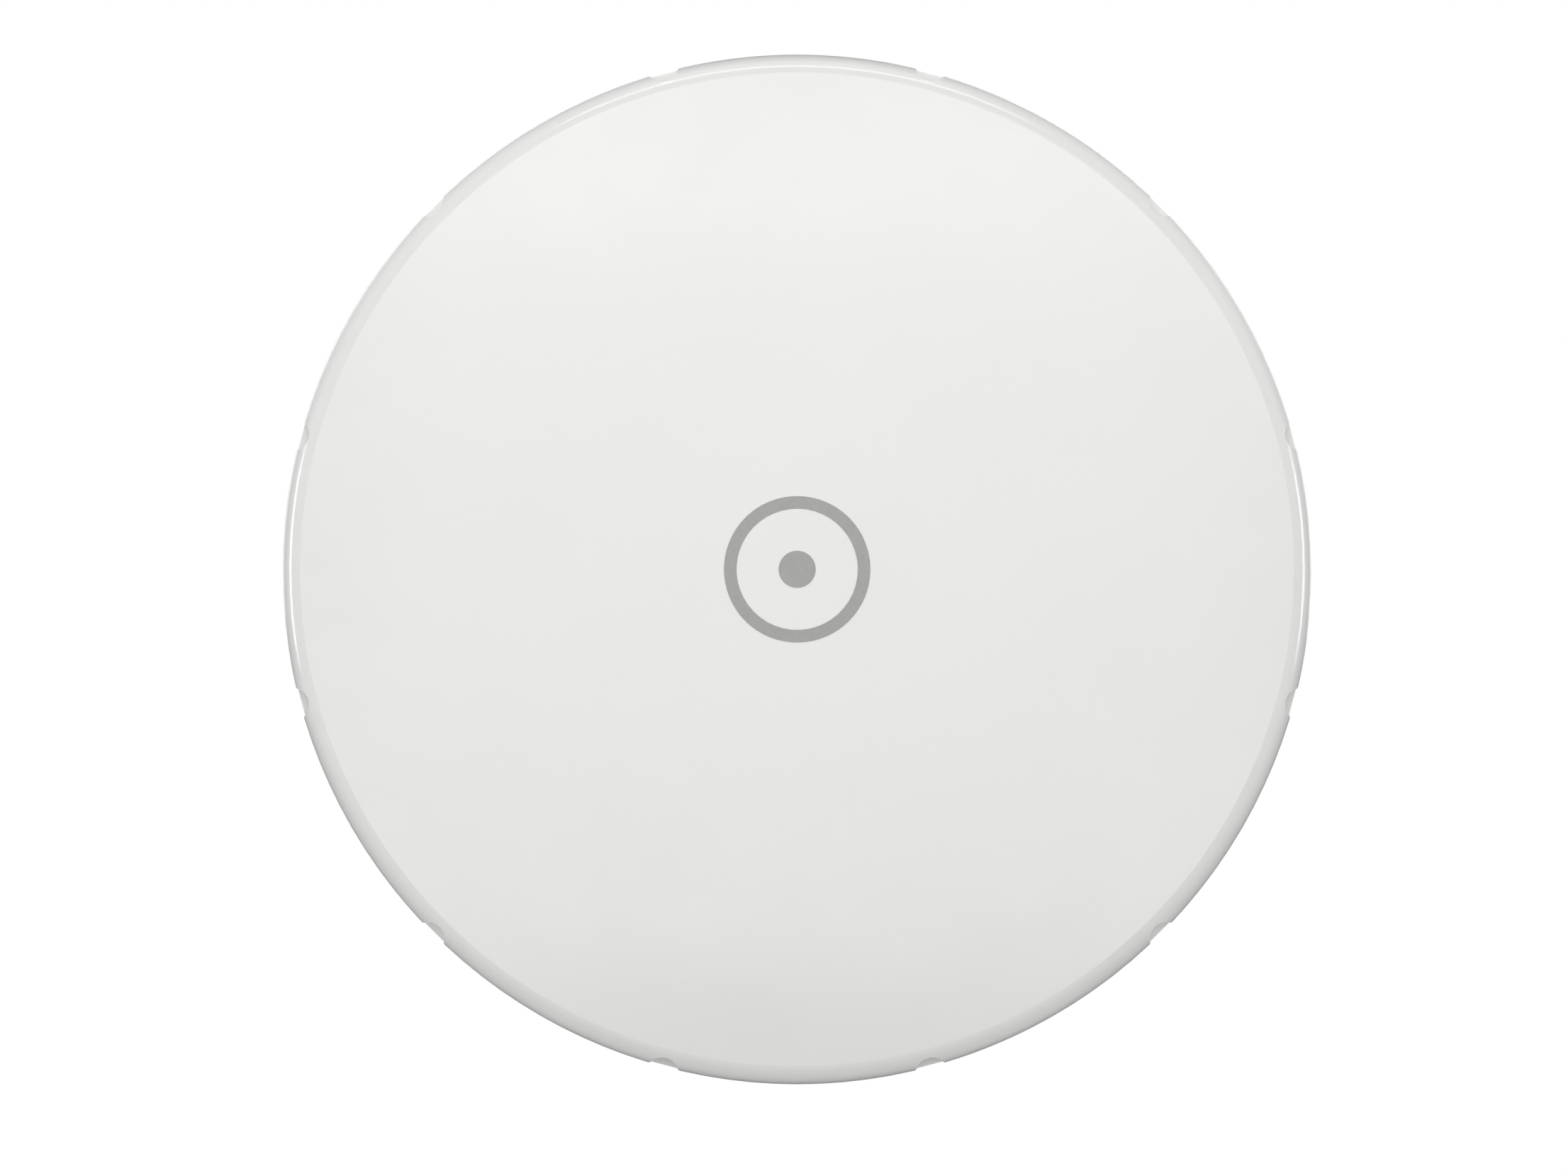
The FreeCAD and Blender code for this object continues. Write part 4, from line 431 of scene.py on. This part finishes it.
def thread_radius(root, crest, pitch, start, end):
    """Radius of a helical thread that fades out over its first and last half turn."""
    half_turn = 0.5 * pitch

    def radius_at(station, angle):
        phase = (station / pitch - angle / (2 * math.pi)) % 1.0
        ramp = min(phase, 1 - phase) * 2
        height = min(1.0, max(0.0, (ramp - FLANK_START) / FLANK_SPAN))
        fade = min(1.0, (station - start) / half_turn, (end - station) / half_turn)
        return root + (crest - root) * height * max(0.0, fade)

    return radius_at


def hexagon_radius(flats, start, end, slope):
    """A hexagon head whose corners are turned off at both ends, at slope."""

    def radius_at(station, angle):
        sector = (angle + math.pi / 6) % (math.pi / 3) - math.pi / 6
        flat = flats / 2 / math.cos(sector)
        inside = min(station - start, end - station)
        return min(flat, flats / 2 * FACE_SHARE + max(0.0, inside) * slope)

    return radius_at


def worm_screw(node, materials):
    """Band clamp worm with a true helical thread, a flange and a slotted hexagon head."""
    low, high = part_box(node)
    axis_y, axis_z = (low.y + high.y) / 2, (low.z + high.z) / 2
    body = node.split("_")[0] + "_worm"
    root, crest, pitch = 2.7 * MM, 3.7 * MM, 2.0 * MM
    flange, chamfer, corner = 5.0 * MM, 0.25 * MM, 0.2 * MM
    flats, slot_depth, slot_length, slot_width = 7.0 * MM, 1.4 * MM, 12 * MM, 1.0 * MM
    thread_end = low.x + 16.6 * MM
    flange_start, flange_end, top = low.x + 17.4 * MM, low.x + 18.2 * MM, high.x
    overlap, hidden_chamfer = 0.1 * MM, 0.6 * MM

    def place(station, angle, radius):
        return Vector((
            station,
            axis_y + radius * math.sin(angle),
            axis_z + radius * math.cos(angle),
        ))

    bm = bmesh.new()
    thread = thread_radius(root, crest, pitch, low.x, thread_end)
    skin(bm, steps(low.x, thread_end, WORM_STEP), thread, SIDES, place)
    skin(bm, [thread_end - overlap, flange_start], lambda s, a: root, SIDES, place)
    rim = {
        flange_start: flange - chamfer,
        flange_start + corner: flange,
        flange_end - corner: flange,
        flange_end: flange - chamfer,
    }
    skin(bm, list(rim), lambda s, a: rim[s], FLANGE_SIDES, place)
    head = hexagon_radius(flats, flange_end - hidden_chamfer, top, slope=1.0)
    below_top = [top - depth * MM for depth in (1.0, 0.5, 0.2, 0.0)]
    skin(bm, [flange_end - overlap, *below_top], head, SIDES, place)
    piece = mesh_object(f"{node}_worm", bm, materials["worm_steel"], body)
    # The box is centred on the head's face, so half of its depth cuts.
    cut_slot(piece, Vector((top, axis_y, axis_z)), (2 * slot_depth, slot_length, slot_width))
    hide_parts(node)


def cut_slot(piece, centre, size):
    """Cuts a driver slot with a box of that size, then leaves no modifier behind."""
    bm = bmesh.new()
    bmesh.ops.create_cube(bm, size=1.0)
    bmesh.ops.scale(bm, vec=Vector(size), verts=bm.verts)
    bmesh.ops.translate(bm, vec=centre, verts=bm.verts)
    mesh = bpy.data.meshes.new("cutter")
    bm.to_mesh(mesh)
    bm.free()
    cutter = add_object("cutter", mesh)
    modifier = piece.modifiers.new("slot", "BOOLEAN")
    modifier.operation = "DIFFERENCE"
    modifier.object = cutter
    modifier.solver = "EXACT"
    modifier.use_self = True
    graph = bpy.context.evaluated_depsgraph_get()
    result = bpy.data.meshes.new_from_object(piece.evaluated_get(graph))
    piece.modifiers.clear()
    piece.data = result
    bpy.data.objects.remove(cutter)


def tilt_bolt(node, materials):
    """M6 bolt with a chamfered head and a true helical thread on its free end."""
    low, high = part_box(node)
    axis_y, axis_z = (low.y + high.y) / 2, (low.z + high.z) / 2
    shank, root, pitch, flats = 3.0 * MM, 2.5 * MM, 1.0 * MM, 10.0 * MM
    head_start, top = high.x - 4.0 * MM, high.x
    thread_end = low.x + 10.2 * MM
    overlap, hidden_chamfer = 0.5 * MM, 0.5 * MM

    def place(station, angle, radius):
        return Vector((
            station,
            axis_y + radius * math.cos(angle),
            axis_z + radius * math.sin(angle),
        ))

    bm = bmesh.new()
    thread = thread_radius(root, shank, pitch, low.x, thread_end)
    skin(bm, steps(low.x, thread_end, BOLT_STEP), thread, SIDES, place)
    skin(bm, [thread_end - overlap, head_start], lambda s, a: shank, SIDES, place)
    head = hexagon_radius(flats, head_start - hidden_chamfer, top, slope=1.1)
    below_top = [top - depth * MM for depth in (1.2, 0.6, 0.25, 0.0)]
    skin(bm, [head_start, *below_top], head, SIDES, place)
    piece = mesh_object(f"{node}_threaded", bm, materials["zinc_bolt"], "mast_mount")
    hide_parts(node)


def nylon_ring(node, materials):
    """Nylon ring that shows at the free end of a lock nut."""
    low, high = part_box(node)
    axis_y, axis_z = (low.y + high.y) / 2, (low.z + high.z) / 2
    # Once round its section: radius, and how far it stands out of the nut, in millimetres.
    section = [(3.1, -0.1), (3.1, 0.18), (3.3, 0.3), (4.0, 0.3), (4.2, 0.15), (4.2, -0.1)]
    bm = bmesh.new()
    loops = []
    for radius, out in section:
        angles = [2 * math.pi * k / RING_SIDES for k in range(RING_SIDES)]
        loops.append([
            bm.verts.new((
                low.x - out * MM,
                axis_y + radius * MM * math.cos(a),
                axis_z + radius * MM * math.sin(a),
            ))
            for a in angles
        ])
    for i, loop in enumerate(loops):
        follower = loops[(i + 1) % len(loops)]
        for k in range(RING_SIDES):
            after = (k + 1) % RING_SIDES
            bm.faces.new((loop[k], loop[after], follower[after], follower[k]))
    finish = materials["feed_plastic"]
    mesh_object(f"{node}_nylon", bm, finish, "mast_mount", smooth_angle=50)


# ---------------------------------------------------------------- studio and camera

# The disc's width, and how far right of and above the picture's middle its own middle lies, all
# as shares of the picture's width.
DISC_SHARE, RIGHT_SHARE, UP_SHARE = 0.655, 0.0083, 0.0118
# Lens and sensor in millimetres; the nearest and farthest that the camera sees, in metres.
LENS, SENSOR = 180.0, 36.0
CLIP_START, CLIP_END = 0.05, 30.0
# How far below the object the floor lies, and its radius, in metres.
FLOOR_DROP, FLOOR_RADIUS, FLOOR_SIDES = 2.0, 1.5, 128
# The floor light's side in metres and power in watts.
FLOOR_LIGHT = (1.6, 9.0)
# The room's strength in front of and beside the object, and behind it.
WORLD_GREY = (0.03, 0.17)
# The Y of a direction where the first starts to rise and where the second is reached.
WORLD_RISE = (0.1, 0.8)
# Azimuth to the right of the front and elevation, in degrees; distance, width and height, in
# metres; power, in watts.
SOFTBOXES = {
    "front_wide": (0, 2, 3.0, 2.8, 2.5, 54.0),
    "front_high": (0, 25, 2.6, 2.2, 0.7, 7.0),
    "rim_top": (0, 60, 1.6, 1.4, 0.22, 6.5),
    "overhead": (0, 82, 1.9, 1.4, 0.8, 3.5),
    "rim_left": (-79, 2, 1.5, 0.26, 0.6, 6.0),
    "rim_right": (79, 2, 1.5, 0.26, 0.6, 5.0),
    "back_left": (-150, 14, 2.2, 1.8, 1.4, 12.0),
    "back_right": (150, 14, 2.2, 1.8, 1.4, 14.0),
}


def add_camera():
    """Straight in front of the disc, so far off that the disc has its share of the picture."""
    low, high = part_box("radome_cover")
    centre = (low + high) / 2
    span = (high.x - low.x) / DISC_SHARE
    data = bpy.data.cameras.new("Camera")
    data.lens = LENS
    data.sensor_width = SENSOR
    data.clip_start, data.clip_end = CLIP_START, CLIP_END
    camera = add_object("Camera", data)
    distance = span * LENS / SENSOR
    camera.location = (
        centre.x - span * RIGHT_SHARE,
        high.y - distance,
        centre.z - span * UP_SHARE,
    )
    camera.rotation_euler = (math.pi / 2, 0, 0)
    bpy.context.scene.camera = camera
    bpy.context.scene.view_settings.view_transform = "Standard"


def add_floor():
    """A pale floor as far below the object as the foot of a short mast."""
    bm = bmesh.new()
    bmesh.ops.create_circle(bm, cap_ends=True, radius=FLOOR_RADIUS, segments=FLOOR_SIDES)
    bmesh.ops.translate(bm, vec=(0, 0, cad_low.z - FLOOR_DROP), verts=bm.verts)
    mesh = bpy.data.meshes.new("floor")
    bm.to_mesh(mesh)
    bm.free()
    floor = add_object("floor", mesh)
    colour = (0.80, 0.80, 0.79)
    s = Shader("floor_paint", colour, 0.7)
    s.tint(s.noise(4 * MM, 2), (shade(colour, 0.99), colour))
    mesh.materials.append(s.material)


def softbox(name, azimuth, elevation, distance, width, height, power):
    """A rectangular light that faces the disc's middle."""
    low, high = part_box("radome_cover")
    target = (low + high) / 2
    turn, rise = math.radians(azimuth), math.radians(elevation)
    way = Vector((
        math.sin(turn) * math.cos(rise),
        -math.cos(turn) * math.cos(rise),
        math.sin(rise),
    ))
    data = bpy.data.lights.new(name, "AREA")
    data.shape = "RECTANGLE"
    data.size, data.size_y = width, height
    data.energy = power
    light = add_object(name, data)
    light.location = target + way * distance
    light.rotation_euler = (-way).to_track_quat("-Z", "Y").to_euler()


def floor_wash():
    """Lights the floor alone: it hangs below the object and shines straight down."""
    data = bpy.data.lights.new("floor_wash", "AREA")
    data.size, data.energy = FLOOR_LIGHT
    light = add_object("floor_wash", data)
    light.location = (0, 0, cad_low.z - 0.5 * FLOOR_DROP)
    light.visible_camera = False


def add_world():
    """A dim room, paler behind the object, that the camera itself sees as white."""
    world = bpy.data.worlds.new("World")
    world.use_nodes = True
    nodes, links = world.node_tree.nodes, world.node_tree.links
    lighting = nodes["Background"]
    lighting.inputs["Color"].default_value = (1, 1, 1, 1)
    coords = nodes.new("ShaderNodeTexCoord")
    split = nodes.new("ShaderNodeSeparateXYZ")
    rise = map_range(nodes, *WORLD_RISE, *WORLD_GREY)
    links.new(coords.outputs["Generated"], split.inputs["Vector"])
    links.new(split.outputs["Y"], rise.inputs["Value"])
    links.new(rise.outputs["Result"], lighting.inputs["Strength"])
    white = nodes.new("ShaderNodeBackground")
    white.inputs["Color"].default_value = (1, 1, 1, 1)
    rays = nodes.new("ShaderNodeLightPath")
    mix = nodes.new("ShaderNodeMixShader")
    links.new(rays.outputs["Is Camera Ray"], mix.inputs["Fac"])
    links.new(lighting.outputs["Background"], mix.inputs[1])
    links.new(white.outputs["Background"], mix.inputs[2])
    links.new(mix.outputs["Shader"], nodes["World Output"].inputs["Surface"])
    bpy.context.scene.world = world


# ---------------------------------------------------------------- put together

materials = make_materials()
dress_frame(materials)
for clamp in ("upper_clamp_screw", "lower_clamp_screw"):
    worm_screw(clamp, materials)
for bolt in ("pivot", "lock"):
    tilt_bolt(f"{bolt}_bolt", materials)
    nylon_ring(f"{bolt}_nut", materials)
add_floor()
for light_name, setting in SOFTBOXES.items():
    softbox(light_name, *setting)
floor_wash()
add_world()
add_camera()
